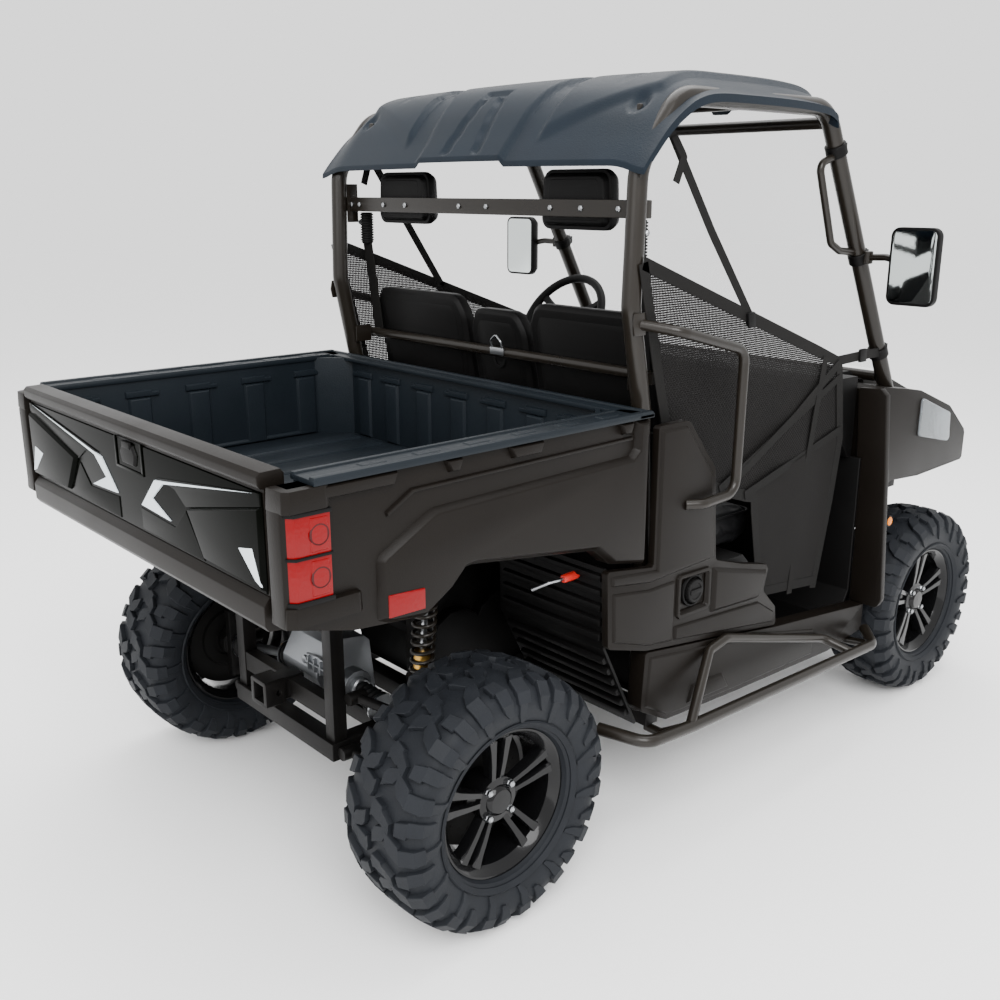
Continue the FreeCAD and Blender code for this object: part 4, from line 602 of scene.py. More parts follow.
def prong(shape, hub, way, angle, spread, stations):
    """Tapered bar from the hub outwards, set at an angle and shifted sideways by the spread."""
    along = Vector((0, math.cos(angle), math.sin(angle)))
    aside = Vector((0, -math.sin(angle), math.cos(angle)))
    rings = []
    for radius, shift, wide, front, deep in stations:
        centre = Vector(hub) + along * radius + aside * shift * spread
        ring = []
        for across, depth in ((-0.5, -deep), (-0.5, -6), (-0.36, 0), (0.36, 0), (0.5, -6), (0.5, -deep)):
            ring.append((centre + aside * across * wide + Vector((way * (front + depth), 0, 0))) / 1000)
        rings.append(ring)
    bmesh.ops.recalc_face_normals(shape, faces=skin(shape, rings))


def make_rim(corner, hub, wide):
    """Barrel, lips, prongs, hub boss and cap in gloss black."""
    way = 1 if hub[0] > 0 else -1

    def outward(profile):
        return [(way * x, r) for x, r in profile]

    shape = bmesh.new()
    turned(shape, [(-wide, 189), (-wide + 3, 190), (-wide + 8, 188), (-wide + 9, 178), (-wide + 22, 172),
                   (0, 168), (wide - 22, 172), (wide - 9, 178), (wide - 8, 188), (wide - 3, 190),
                   (wide, 189), (wide, 184), (wide - 6, 178), (wide - 12, 170), (wide - 22, 164), (0, 160),
                   (-wide + 22, 164), (-wide + 6, 176), (-wide, 184)],
           hub, 96, closed=True)
    face = wide - 16  # plane of the prongs' front
    for angle in circle(5, math.pi / 2):
        for spread in SIDES:
            prong(shape, hub, way, angle, spread, [
                (34, 9, 22, face - 14, 24), (60, 13, 17, face - 11, 26), (100, 17, 19, face - 5, 30),
                (140, 21, 23, face - 1, 34), (167, 25, 30, face + 2, 40)])
        # Web between the two prongs near the hub
        prong(shape, hub, way, angle, 0, [(40, 0, 26, face - 20, 18), (92, 0, 20, face - 22, 14)])
    turned(shape, outward([(-16, 0.5), (-16, 50), (face - 30, 62), (face - 12, 58), (face - 9, 40),
                           (face - 2, 36), (face + 2, 30), (face + 3, 0.5)]), hub, 48)
    hand_over("rim_" + corner + "_cast", shape, wheel_paint, "wheel_" + corner, "rim_" + corner, smooth=30)
    # Brake rotor and its hub show dark between the spokes
    rotor = bmesh.new()
    turned(rotor, outward([(-14, 152), (-16, 154), (-20, 154), (-21, 152), (-21, 96), (-30, 92), (-30, 60),
                           (-14, 60)]), hub, 64, closed=True)
    turned(rotor, outward([(-15, 0.5), (-15, 70), (-24, 70), (-24, 0.5)]), hub, 40)
    for angle in circle(24):
        for radius in (112, 132):
            turn = angle + radius  # the two rings of studs are turned against each other
            turned(rotor, outward([(-13.9, 4.5), (-12.8, 4), (-12.8, 0.5)]),
                   (hub[0], hub[1] + radius * math.cos(turn), hub[2] + radius * math.sin(turn)), 10)
    hand_over("brake_rotor_" + corner, rotor, cast_iron, "wheel_" + corner, smooth=30)
    nuts = bmesh.new()
    for angle in circle(4, math.pi / 4):
        place = (hub[0], hub[1] + NUT_CIRCLE * math.cos(angle), hub[2] + NUT_CIRCLE * math.sin(angle))
        turned(nuts, outward([(face - 14, 10), (face - 6, 10), (face - 4, 8.5), (face + 3, 8.5),
                              (face + 6, 5), (face + 7, 0.5)]), place, 6)
    hand_over("lug_nuts_" + corner, nuts, bright_steel, "wheel_" + corner, smooth=20)


for corner, (hub, half, seat) in WHEELS.items():
    make_rim(corner, hub, seat + RIM_LIP)

# %% [markdown]
# ## Cargo bed
# The bed is a rotomoulded liner inside two injection-moulded sides. The liner's walls are ribbed
# for stiffness, and its rim turns outwards over the sides. The ribs are plates with sloping
# edges on plain walls, which is how the mould draws them.

# %% Bed liner
BED_FRONT, BED_BACK, FLOOR_Z, RIM_Z = 435, 1422, 955, 1215
WALL_X, WALL_Y = 640, 471  # inner faces of the side walls and of the front wall
WALL_FOOT, WALL_TOP = 950, 1208
RIB_TOP = 1150
liner = bmesh.new()
plate(liner, "z", [(-652, 549), (-562, 459), (562, 459), (652, 549), (652, BED_BACK), (-652, BED_BACK)],
      940, FLOOR_Z, 4)
for side in SIDES:
    plate(liner, "x", rect(545, WALL_FOOT, BED_BACK, WALL_TOP), side * WALL_X, side * 652, 2)
    plate(liner, "z", [(side * WALL_X, 561), (side * 652, 556), (side * 558, 460), (side * 550, 471)],
          WALL_FOOT, WALL_TOP, 2)
plate(liner, "y", rect(-556, WALL_FOOT, 556, WALL_TOP), 459, WALL_Y, 2)
# Ribs of the side and front walls, with a cap under the rim
for side in SIDES:
    for y in (600, 790, 980, 1170, 1350):
        plate(liner, "x", rect(y - 36, FLOOR_Z, y + 36, RIB_TOP), side * WALL_X, side * 631, 1.5, 6)
        plate(liner, "x", [(y - 62, RIB_TOP), (y + 44, RIB_TOP), (y + 44, 1172), (y - 40, 1172),
                           (y - 40, 1166), (y - 62, 1166)],
              side * WALL_X, side * 632, 1.5, 3)
    plate(liner, "x", rect(575, FLOOR_Z, 1415, 972), side * WALL_X, side * 632, 1, 6)
for x in (-480, -330, -165, 0, 165, 330, 480):
    plate(liner, "y", rect(x - 34, FLOOR_Z, x + 34, RIB_TOP), WALL_Y, 480, 1.5, 6)
    plate(liner, "y", [(x - 44, RIB_TOP), (x + 62, RIB_TOP), (x + 62, 1166), (x + 40, 1166),
                       (x + 40, 1172), (x - 44, 1172)],
          WALL_Y, 479, 1.5, 3)
for x in (-500, -375, -250, -125, 0, 125, 250, 375, 500):
    plate(liner, "z", rect(x - 32, 500, x + 32, 1405), FLOOR_Z, 962, 1, 6)
# Rim that turns outwards, with a raised outer edge
for side in SIDES:
    plate(liner, "z", [(side * 634, BED_FRONT + 30), (side * 722, BED_FRONT), (side * 722, BED_BACK + 4),
                       (side * 634, BED_BACK + 4)],
          1199, 1211, 3)
    plate(liner, "z", rect(side * 700, BED_FRONT + 2, side * 722, BED_BACK + 4),
          1206, RIM_Z + 1, 3, 2)
    plate(liner, "z", rect(side * 634, 500, side * 650, BED_BACK + 4),
          1206, RIM_Z, 2, 2)
    for y in (560, 700, 840, 980, 1120, 1260):
        plate(liner, "z", rect(side * 660, y - 34, side * 692, y + 34),
              1208, 1213.5, 2, 5)
plate(liner, "z", rect(-722, BED_FRONT, 722, 490), 1199, 1211, 3)
plate(liner, "z", rect(-700, BED_FRONT, 700, BED_FRONT + 18), 1206, RIM_Z, 2, 2)
# Rear sill that closes the gap in front of the tailgate
plate(liner, "z", rect(-632, BED_BACK - 4, 632, 1435), 938, FLOOR_Z - 2, 2)
hand_over("bed_liner", liner, bed_plastic, "cargo_bed", "bed_tub")

# %% [markdown]
# ### Bed sides
# Each side panel has a lower field that stands proud behind a wide chamfer, three pockets under
# the rim, and an arch over the wheel. The chamfer catches the light as one pale line, so it is a
# true sloping face and not a shading trick.

# %% Bed sides
def rear(points):
    """Outline points measured from the rear axle."""
    return [(y + REAR_AXLE, z) for y, z in points]


side_outer = rear([(-509, 1199), (-509, 811), (-382, 838), (-322, 888), (70, 944), (92, 942), (132, 903),
                   (205, 858), (388, 875), (546, 918), (546, 1150), (528, 1199)])
side_shape = bmesh.new()
plate(side_shape, "x", side_outer, -655, -706, 5)
raised = rear([(-509, 1199), (-509, 811), (-382, 838), (-322, 888), (70, 944), (92, 942), (132, 903),
               (205, 858), (300, 867), (331, 880), (331, 1012), (322, 1026), (196, 1095), (176, 1101),
               (-436, 1113), (-454, 1128), (-456, 1199)])
plate(side_shape, "x", raised, -703, -723, 3, 15)
# Band under the rim: a ledge broken by three pockets
for back_end, front_end in ((490, 268), (150, 96), (-32, -144), (-395, -450)):
    plate(side_shape, "x", rear([(front_end, 1199), (back_end, 1199), (back_end - 14, 1166),
                                 (front_end + 14, 1166)]), -704, -721, 2.5, 6)
# A long thin lip follows the field's upper edge
plate(side_shape, "x", rear([(-448, 1148), (230, 1140), (300, 1100), (304, 1112), (236, 1152),
                             (-448, 1160)]), -704, -714, 2, 3)
hand_over("bed_side_panels", side_shape, body_plastic, "cargo_bed", "bed_sides", mirror=True)

# Corner pieces above and below the lamp
corner_caps = bmesh.new()
plate(corner_caps, "z", [(-655, 1496), (-712, 1494), (-723, 1482), (-723, 1400), (-716, 1388),
                         (-655, 1388)], 1153, 1199, 3, 2)
plate(corner_caps, "z", [(-655, 1497), (-710, 1495), (-723, 1480), (-723, 1330), (-716, 1320),
                         (-655, 1320)], 920, 963, 3, 2)
hand_over("bed_corner_caps", corner_caps, body_plastic, "cargo_bed", mirror=True)

# %% [markdown]
# ### Tail lamps
# The lamp wraps the corner in two red blocks inside a thin dark bezel. Acrylic is lit from
# behind by its own reflector, so a darker round dish is set into each block.
# The red blocks and the dishes glow a little. That glow is painted light for what the reflector sends back.

# %% Tail lamps and reflectors
lamp_plan = [(-658, 1466), (-706, 1484), (-719, 1472), (-721, 1392), (-700, 1392), (-698, 1448),
             (-660, 1448)]
LAMP_BLOCKS = ((972, 1059), (1063, 1146))
# The red lens finish glows: painted light, not a lit lamp
lenses = bmesh.new()
for low, high in reversed(LAMP_BLOCKS):
    plate(lenses, "z", lamp_plan, low, high, 3)
for low, high in LAMP_BLOCKS:
    plate(lenses, "x", rect(1398, low + 6, 1440, high - 6), -719, -723, 1.5, 3)
hand_over("tail_lamp_lenses", lenses, red_lens_painted_glow, "cargo_bed", "tail_lamps", mirror=True)
# The dishes glow too: painted light
dishes = bmesh.new()
for z in (1016, 1104):
    turned(dishes, [(-721.5, 23), (-723.4, 22), (-722.6, 16), (-722, 0.5)], (0, 1419, z), 32)
hand_over("tail_lamp_dishes", dishes, deep_red_lens_painted_glow, "cargo_bed", mirror=True)
bezel = bmesh.new()
for low, high in ((963, 973), (1058, 1064), (1145, 1153)):
    plate(bezel, "z", shrunk(lamp_plan, -2), low, high, 1)
plate(bezel, "y", rect(-662, 966, -652, 1152), 1446, 1478, 2)
hand_over("tail_lamp_bezels", bezel, cabin_plastic, "cargo_bed", mirror=True)
# The reflectors take the red lens finish, so they glow: painted light for the light that they send back
reflectors = bmesh.new()
plate(reflectors, "x", [(1262, 886), (1262, 938), (1166, 932), (1166, 884)], -722, -727, 2, 2)
hand_over("bed_reflectors", reflectors, red_lens_painted_glow, "cargo_bed", mirror=True)
# Two more sit on the tailgate's lower roll and go down with it
# These glow like the others: painted light
gate_reflectors = bmesh.new()
plate(gate_reflectors, "y", rect(-600, 902, -540, 926), 1492, 1499, 2, 1)
hand_over("tailgate_reflectors", gate_reflectors, red_lens_painted_glow, "tailgate", mirror=True)

# %% [markdown]
# ### Tailgate
# The gate is a flat double-skinned door. Its upper field is a gloss black inset with two
# arrow-shaped silver trims and a faceted block at each end, and its top is a matte rolled edge.
# Each layer is a plate a few millimetres in front of the one behind, so their edges cast real shade.

# %% Tailgate
GATE_FACE = 1486  # where the raised layers start
# Raised layers of one half, as outline, front face, bevel and inset
GATE_LAYERS = (
    ([(308, 1083), (630, 1154), (630, 975), (379, 979)], 1498, 2, 7),
    ([(160, 1119), (612, 1180), (628, 1180), (628, 1150), (300, 1078), (250, 1108)], 1491, 1, 2),
    ([(60, 1030), (236, 1022), (296, 1074), (376, 972), (60, 972)], 1490, 1, 3),
)


def mirrored(points, side):
    return [(side * x, z) for x, z in points]


gate = bmesh.new()
plate(gate, "y", rect(-633, 905, 633, 1216), 1440, 1484, 4)
plate(gate, "x", [(1438, 1180), (1492, 1188), (1499, 1196), (1500, 1214), (1492, 1223), (1446, 1224),
                  (1438, 1214)], -635, 635, 3)
plate(gate, "x", [(1460, 890), (1492, 893), (1500, 905), (1500, 948), (1486, 966), (1460, 966)], -635, 635,
      2)
plate(gate, "y", rect(-612, 912, -560, 936), 1494, 1499, 2, 1)
hand_over("tailgate_panel", gate, body_plastic, "tailgate", "tailgate")

inset = bmesh.new()
inset_outline = [(-628, 968), (-100, 968), (100, 968), (628, 968), (628, 1180), (-628, 1180)]
plate(inset, "y", inset_outline, 1483, 1488, 2, 2)
for side in SIDES:
    for outline, face, bevel, slope in GATE_LAYERS:
        plate(inset, "y", mirrored(outline, side), GATE_FACE, face, bevel, slope)
# Frame round the latch recess
plate(inset, "y", rect(-92, 1106, 60, 1112), GATE_FACE, 1491, 1)
plate(inset, "y", rect(-92, 1112, -83, 1182), GATE_FACE, 1491, 1)
plate(inset, "y", rect(51, 1112, 60, 1182), GATE_FACE, 1491, 1)
hand_over("tailgate_gloss_inset", inset, gloss_abs, "tailgate")

trim = bmesh.new()
for side in SIDES:
    plate(trim, "y", mirrored([(67, 1035), (150, 1112), (602, 1175), (192, 1109), (130, 1064),
                               (219, 1029)], side),
          1487, 1492, 1, 1)
    plate(trim, "y", mirrored([(540, 1050), (597, 1062), (627, 986), (604, 994)], side), 1495, 1499, 1, 1)
hand_over("tailgate_silver_trim", trim, silver_trim, "tailgate")

# %% Tailgate latch
latch = bmesh.new()
plate(latch, "y", rect(-83, 1112, 51, 1182), 1484, 1487.5, 2)
plate(latch, "y", [(-52, 1120), (18, 1120), (28, 1150), (10, 1174), (-46, 1174), (-62, 1150)], GATE_FACE,
      1494, 3, 5)
plate(latch, "y", rect(-40, 1160, 6, 1180), 1490, 1497, 3, 2)
hand_over("tailgate_latch", latch, cabin_plastic, "tailgate")

# %% [markdown]
# ## Roof
# The roof is one thermoformed sheet. A sheet like this has no sharp edges: every rib has a draft
# angle and a soft radius. So it is a grid whose height is a smooth formula, a crowned base plus
# ribs that rise and fall over 15 mm, and its edge is turned down and thickened.

# %% Roof height
# Section through the roof's middle, from front to rear, as (y, z)
ROOF_STOPS = ((-348, 1996), (-342, 2012), (-300, 2028), (-220, 2036), (-110, 2040), (60, 2041), (190, 2039),
              (262, 2026), (316, 2000), (370, 1952), (428, 1880), (468, 1829))
ROOF_HALF = 685
BAND_TALL = 15
BOLT_X, BOLT_Y = 566, 352


def ramp(value, low, high):
    """Smooth rise from 0 to 1 between two places."""
    part = min(max((value - low) / (high - low), 0), 1)
    return part * part * (3 - 2 * part)


def between(value, low, high, soft=16):
    return ramp(value, low - soft, low) * (1 - ramp(value, high, high + soft))


def roof_line(part):
    """Place on the roof's middle section, from the front edge to the rear one, as (y, z)."""
    last = len(ROOF_STOPS) - 1
    place = part * last
    k = min(int(place), last - 1)
    t = place - k
    nearby = [ROOF_STOPS[min(max(k + step, 0), last)] for step in (-1, 0, 1, 2)]
    smooth = []
    for a, b, c, d in zip(*nearby):
        square, cube = 2 * a - 5 * b + 4 * c - d, 3 * b - a - 3 * c + d
        smooth.append(0.5 * (2 * b + (c - a) * t + square * t * t + cube * t ** 3))
    return smooth


def roof_ribs(x, y):
    """Height of the ribs at a place: middle band, its emboss, and the side bands."""
    half = abs(x)
    rear_part = ramp(y, 120, 460)
    height = BAND_TALL * between(half, -1, 236 - 60 * rear_part, 13)
    slant = 0.35 * (half - 330)
    side_band = between(half, 318 - 30 * rear_part, 590, 13) * (1 - ramp(y, 392 - slant, 420 - slant))
    height += BAND_TALL * side_band
    # Groove along the side band's middle, running out toward the rear
    height -= 6 * between(half, 452, 470, 10) * ramp(y, -260, -200) * (1 - ramp(y, 250, 320))
    # A-shaped emboss at the rear of the middle band
    leg = abs(half - (34 + (y - 318) * 0.24))
    height -= 10 * (1 - ramp(leg, 10, 17)) * ramp(y, 318, 336) * (1 - ramp(y, 452, 466))
    height -= 10 * between(y, 306, 320, 7) * (1 - ramp(half, 42, 52))
    # Two round dimples near the rear corners, where the roof is bolted
    dimple = math.hypot(half - BOLT_X, y - BOLT_Y)
    height -= 12 * (1 - ramp(dimple, 16, 27))
    return height


def roof_point(u, v):
    """Place on the roof's outer skin, for u across and v along, both from 0 to 1."""
    x = -ROOF_HALF + 2 * ROOF_HALF * u
    y, z = roof_line(v)
    half = abs(x)
    droop = 10 * (half / 640) ** 2 + 44 * ramp(half, 560, 690) ** 1.6
    return x, y, z - 13 - droop * (1 - 0.55 * ramp(y, 300, 470)) + roof_ribs(x, y)


print("roof height ready")

# %% Roof sheet
REAR_EDGE_Y, SIDE_EDGE_X, SHEET_THICK = 0.44, 0.68, 0.006  # in metres
roof = bmesh.new()
ACROSS, ALONG = 150, 110  # steps of the grid
top_faces = sheet_between(roof, [[at(*roof_point(i / ACROSS, j / ALONG)) for i in range(ACROSS + 1)]
                                 for j in range(ALONG + 1)])
bmesh.ops.recalc_face_normals(roof, faces=top_faces)
if top_faces[len(top_faces) // 2].normal.z < 0:
    bmesh.ops.reverse_faces(roof, faces=top_faces)
# Turn the edge down as a skirt
rim_edges = [edge for edge in roof.edges if len(edge.link_faces) == 1]
skirt = bmesh.ops.extrude_edge_only(roof, edges=rim_edges)["geom"]
for vert in (item for item in skirt if isinstance(item, bmesh.types.BMVert)):
    drop = 14 if vert.co.y > REAR_EDGE_Y else 20
    vert.co += at(math.copysign(2, vert.co.x) if abs(vert.co.x) > SIDE_EDGE_X else 0, 0, -drop)
bmesh.ops.solidify(roof, geom=roof.faces[:], thickness=SHEET_THICK)
hand_over("roof_sheet", roof, roof_plastic, "chassis", "roof", smooth=50)

bolts = bmesh.new()
for side in SIDES:
    turned(bolts, [(-30, 8), (-6, 8), (-4, 6), (-3, 0.5)], (side * BOLT_X, BOLT_Y, 1950), 6, "z")
hand_over("roof_bolts", bolts, cage_coat, "chassis")

# %% [markdown]
# ## Roll cage and bars
# The cage, the hip bars, the steps and the bumper are bent round steel tube. A tube is the easiest
# thing to sweep: the straight runs are given by their ends, and each bend by one radius, as the
# bending machine needs it. Clamps hold the windshield to its pillars.

# %% Cage tubes
def pillar_y(z):
    """Y of the windshield pillar's axis at a height."""
    return -360 - (1958 - z) * PILLAR_RUN / PILLAR_RISE


cage = bmesh.new()
cage_line = ((pillar_y(1040), 800), (pillar_y(1040), 1040), (pillar_y(1965), 1965), (295, 1965),
             (435, 1800), (445, 1460), (394, 1205), (358, 350))
tube(cage, [(-CAGE_X, y, z) for y, z in cage_line], 50, 110, 28)
hand_over("cage_side_tubes", cage, cage_coat, "chassis", "cage_sides", mirror=True)

cross = bmesh.new()
for y, z in ((pillar_y(1925), 1925), (pillar_y(1150), 1150), (-50, 1965), (250, 1965)):
    tube(cross, [(-616, y, z), (616, y, z)], 34)
tube(cross, [(-646, 330, 1277), (646, 330, 1277)], 30)
for side in SIDES:
    plate(cross, "y", rect(side * 646, 1262, side * 630, 1292), 330, 385, 2)
# Headrest bar: a square tube
plate(cross, "y", rect(-648, 1675, 648, 1719), 388.7, 412.7, 3)
for side in SIDES:
    plate(cross, "x", rect(384, 1640, 424, 1760), side * 612, side * 618, 2)
    plate(cross, "x", rect(352, 1250, 412, 1304), side * 606, side * 612, 2)
hand_over("cage_cross_tubes", cross, cage_coat, "chassis", "cage_crossbars")

fixings = bmesh.new()
for x in (-604, -560, -430, -318, -60, 60, 318, 430, 560, 604):
    turned(fixings, [(413, 8), (416.5, 8), (418, 5), (418.2, 0.5)], (x, 0, 1697), 6, "y")
for side in SIDES:
    for y, z in ((372, 1640), (404, 1668), (400, 1745), (386, 1262)):
        turned(fixings, [(side * 618, 8), (side * 623, 8), (side * 625, 5), (side * 625.2, 0.5)],
               (0, y, z), 6, "x")
hand_over("cage_bolts", fixings, bright_steel, "chassis", smooth=20)

# %% Clamps on the windshield pillars
clamps = bmesh.new()
for side in SIDES:
    for z in (1853, 1545, 1240):
        y = pillar_y(z)
        slope = Vector((0, PILLAR_RUN, PILLAR_RISE)).normalized()
        centre = Vector((side * CAGE_X, y, z))
        tube(clamps, [centre - slope * 17, centre + slope * 17], 62, sides=28)
        ahead = centre + Vector((0, -34, 12))
        tube(clamps, [ahead - slope * 12, ahead + slope * 12], 20, sides=16)
        plate(clamps, "x", [(y - 52, z - 4), (y - 20, z - 14), (y - 20, z + 18), (y - 52, z + 22)],
              side * 636, side * 644, 2)
hand_over("windshield_clamps", clamps, cabin_plastic, "chassis")

# %% Grab handle, hip bars and steps
grab = bmesh.new()
grab_line = ((pillar_y(1830) + 16, 1836), (-338, 1812), (-430, 1590), (-480, 1567),
             (pillar_y(1567) + 16, 1560))
tube(grab, [(-CAGE_X, y, z) for y, z in grab_line], 22, 24, 20)
hand_over("grab_handle_tube", grab, cage_coat, "chassis", "grab_handle")

hips = bmesh.new()
tube(hips, [(-655, 436, 1424), (-750, 380, 1408), (-750, 116, 1339), (-750, 122, 952), (-750, 260, 946),
            (-722, 300, 946)],
     28, 45, 20)
plate(hips, "x", [(420, 1396), (462, 1396), (468, 1424), (462, 1452), (420, 1452)], -664, -670, 3)
hand_over("hip_bar_tubes", hips, cage_coat, "chassis", "hip_bars", mirror=True)

steps = bmesh.new()
tube(steps, [(-690, 578, 380), (-820, 530, 372), (-820, 350, 358), (-820, -580, 326), (-750, -645, 342)],
     34, 50, 20)
tube(steps, [(-820, 355, 360), (-735, 175, 500), (-735, 100, 515), (-735, -418, 366), (-820, -458, 332)],
     28, 40, 20)
tube(steps, [(-820, 335, 357), (-705, 335, 286.5), (-650, 335, 286.5)], 26, 30, 20)
tube(steps, [(-820, -575, 326), (-705, -635, 286.5), (-650, -635, 286.5)], 26, 30, 20)
hand_over("step_bar_tubes", steps, cage_coat, "chassis", "step_bars", mirror=True)

bumper = bmesh.new()
tube(bumper, [(-230, -1280, 325), (-230, -1350, 325), (-300, -1480, 400), (-300, -1480, 640),
              (300, -1480, 640), (300, -1480, 400), (230, -1350, 325), (230, -1280, 325)], 40, 50, 24)
tube(bumper, [(-300, -1480, 470), (300, -1480, 470)], 28, sides=20)
hand_over("front_bumper_tubes", bumper, cage_coat, "chassis", "front_bumper")

# %% [markdown]
# ## Suspension and drive
# Behind the rear wheels the eye meets wishbones, drive shafts in rubber boots and coil-over
# shocks. These parts are turned or drawn bar, so each is a round form along a line, given by
# distances and radii. The coil is a round wire on a helix, as the spring is really wound.

# %% Round forms along any line
def spindle(shape, first, last, stations, sides=24):
    """Round form along a line from (distance, radius) pairs, in millimetres."""
    first, last = Vector(first), Vector(last)
    way = (last - first).normalized()
    side = square_to(way)
    up = way.cross(side)
    rings = [[(first + way * along + (side * math.cos(a) + up * math.sin(a)) * radius) / 1000
              for a in circle(sides)] for along, radius in stations]
    bmesh.ops.recalc_face_normals(shape, faces=skin(shape, rings))


def folds(length, first_radius, last_radius, count, depth, start=0.0):
    """Stations of a bellows boot that widens along its length."""
    stations = [(start, first_radius - depth)]
    for k in range(count):
        for part, drop in ((0.2, 0), (0.5, 0.15), (0.8, 1)):
            share = (k + part) / count
            stations.append((start + length * share,
                             first_radius + (last_radius - first_radius) * share - depth * drop))
    return stations + [(start + length, last_radius - 2), (start + length + 4, last_radius - 3)]


def coil(shape, first, last, radius, wire, turns):
    """Round wire on a helix between two places."""
    first, last = Vector(first), Vector(last)
    way = (last - first).normalized()
    side = way.cross(Vector((0, 1, 0))).normalized()
    up = way.cross(side)
    steps = int(turns * 20)
    places = []
    for k in range(steps + 1):
        angle = 2 * math.pi * turns * k / steps
        around = (side * math.cos(angle) + up * math.sin(angle)) * radius
        places.append(first + (last - first) * (k / steps) + around)
    tube(shape, places, wire, sides=10)


print("round forms along any line ready")

# %% Wishbones
wishbones = bmesh.new()
for axle, outer_x, foot_x, foot_reach in ((FRONT_AXLE, 610, 455, 45.4), (REAR_AXLE, 516.7, 405, 45)):
    for inner_x, inner_z, spread, outer_z in ((273.3, 325, 130, 246), (268.3, 470, 100, 430)):
        spindle(wishbones, (-outer_x, axle, outer_z - 12), (-outer_x, axle, outer_z + 12),
                [(0, 19), (2, 22), (6, 23), (18, 23), (22, 22), (24, 19)])
        for way in SIDES:
            tube(wishbones, [(-inner_x, axle + way * spread, inner_z), (-outer_x, axle, outer_z)], 27,
                 sides=18)
            spindle(wishbones, (-inner_x, axle + way * spread - 26, inner_z),
                    (-inner_x, axle + way * spread + 26, inner_z),
                    [(0, 14), (0, 17), (2, 18), (50, 18), (52, 17), (52, 14)])
        # Cross tube that ties the two legs
        part = 0.42
        x = -(inner_x + (outer_x - inner_x) * part)
        z = inner_z + (outer_z - inner_z) * part
        tube(wishbones, [(x, axle - spread * (1 - part), z), (x, axle + spread * (1 - part), z)], 20,
             sides=16)
    z = 430 + 40 * (outer_x - foot_x) / (outer_x - 268.3)
    tube(wishbones, [(-foot_x, axle - foot_reach, z), (-foot_x, axle + foot_reach, z)], 16, sides=16)
hand_over("wishbone_tubes", wishbones, frame_coat, "chassis", "suspension_arms", mirror=True)

# %% Drive shafts and their boots
shafts, boots = bmesh.new(), bmesh.new()
for axle, boot_x, outer_x in ((FRONT_AXLE, 555, 588), (REAR_AXLE, 522, 539)):
    inner, outer = Vector((-130.3, axle, 420)), Vector((-boot_x, axle, HUB_Z))
    way = (outer - inner).normalized()
    length = (outer - inner).length
    spindle(shafts, inner, outer, [(4, 13), (6, 14), (length - 2, 14), (length, 13)])
    spindle(shafts, outer, (-outer_x, axle, HUB_Z), [(0, 13), (outer_x - boot_x, 13)])
    spindle(boots, inner, outer, folds(92, 24, 41, 5, 6, 12))
    spindle(boots, outer, inner, folds(92, 41, 24, 5, 6, 4))
    spindle(shafts, inner, inner - Vector((20, 0, 0)), [(0, 28), (1, 30), (16, 30), (20, 26)])
    for place, radius in ((inner + way * 14, 22), (inner + way * 103, 40.5), (outer - way * 5, 40.5),
                          (outer - way * 95, 22)):
        spindle(shafts, place, place + way * 6, [(0, radius), (0, radius + 1.2), (6, radius + 1.2),
                                                 (6, radius)])
hand_over("drive_shafts", shafts, bright_steel, "chassis", "half_shafts", mirror=True)
hand_over("drive_shaft_boots", boots, soft_rubber, "chassis", mirror=True)

# %% Shock absorbers
bodies, springs, rods = bmesh.new(), bmesh.new(), bmesh.new()
for foot, head in (((-455, FRONT_AXLE, 448.1), (-352, FRONT_AXLE, 750.1)),
                   ((-405, REAR_AXLE, 448.0), (-448, REAR_AXLE, 800.1))):
    foot, head = Vector(foot), Vector(head)
    length = (head - foot).length
    spindle(bodies, foot, head, [(10, 12), (16, 20), (22, 22), (length * 0.5, 22), (length * 0.5 + 3, 20),
                                 (length * 0.5 + 3, 12)])
    for along in (0.12, 0.15, 0.18, 0.21):
        spindle(bodies, foot, head, [(length * along, 22), (length * along, 23.5),
                                     (length * along + 4, 23.5), (length * along + 4, 22)])
    spindle(rods, foot, head, [(length * 0.48, 8), (length - 12, 8)])
    for start in (length * 0.27, length - 50):
        spindle(springs, foot, head, [(start, 20), (start, 31), (start + 7, 32), (start + 9, 27),
                                      (start + 9, 20)])
    way = (head - foot).normalized()
    coil(springs, foot + way * (length * 0.27 + 12), foot + way * (length - 54), 27, 10.5, 7.5)
    for place in (foot, head):
        spindle(rods, place - Vector((0, 14, 0)), place + Vector((0, 14, 0)),
                [(0, 9), (0, 15), (1.5, 16.5), (26.5, 16.5), (28, 15), (28, 9)])
hand_over("shock_bodies", bodies, gold_anodised, "chassis", "shocks", mirror=True)
hand_over("shock_springs", springs, cage_coat, "chassis", mirror=True)
hand_over("shock_rods_and_eyes", rods, bright_steel, "chassis", mirror=True)

# %% [markdown]
# ### Small castings and the bed's release lever
# A cast bracket carries the rear housing under the bed, and a red dipped grip on a bent rod
# frees the bed. The casting has ribs, because thin cast walls need them.

# %% Casting and lever
casting = bmesh.new()
plate(casting, "y", [(-168, 486), (-140, 478), (-54, 478), (-26, 490), (-34, 520), (-96, 528),
                     (-160, 520)], 1046, 1056, 2, 1)
for x in (-150, -120, -90, -60):
    plate(casting, "y", rect(x - 3, 482, x + 3, 522), 1055, 1066, 1, 1)
plate(casting, "y", rect(-164, 499, -32, 505), 1055, 1063, 1, 1)
for x in (-158, -36):
    turned(casting, [(1054, 12), (1062, 12), (1063, 9), (1063, 0.5)], (x, 0, 503), 20, "y")
hand_over("rear_housing_bracket", casting, cast_alloy, "chassis")

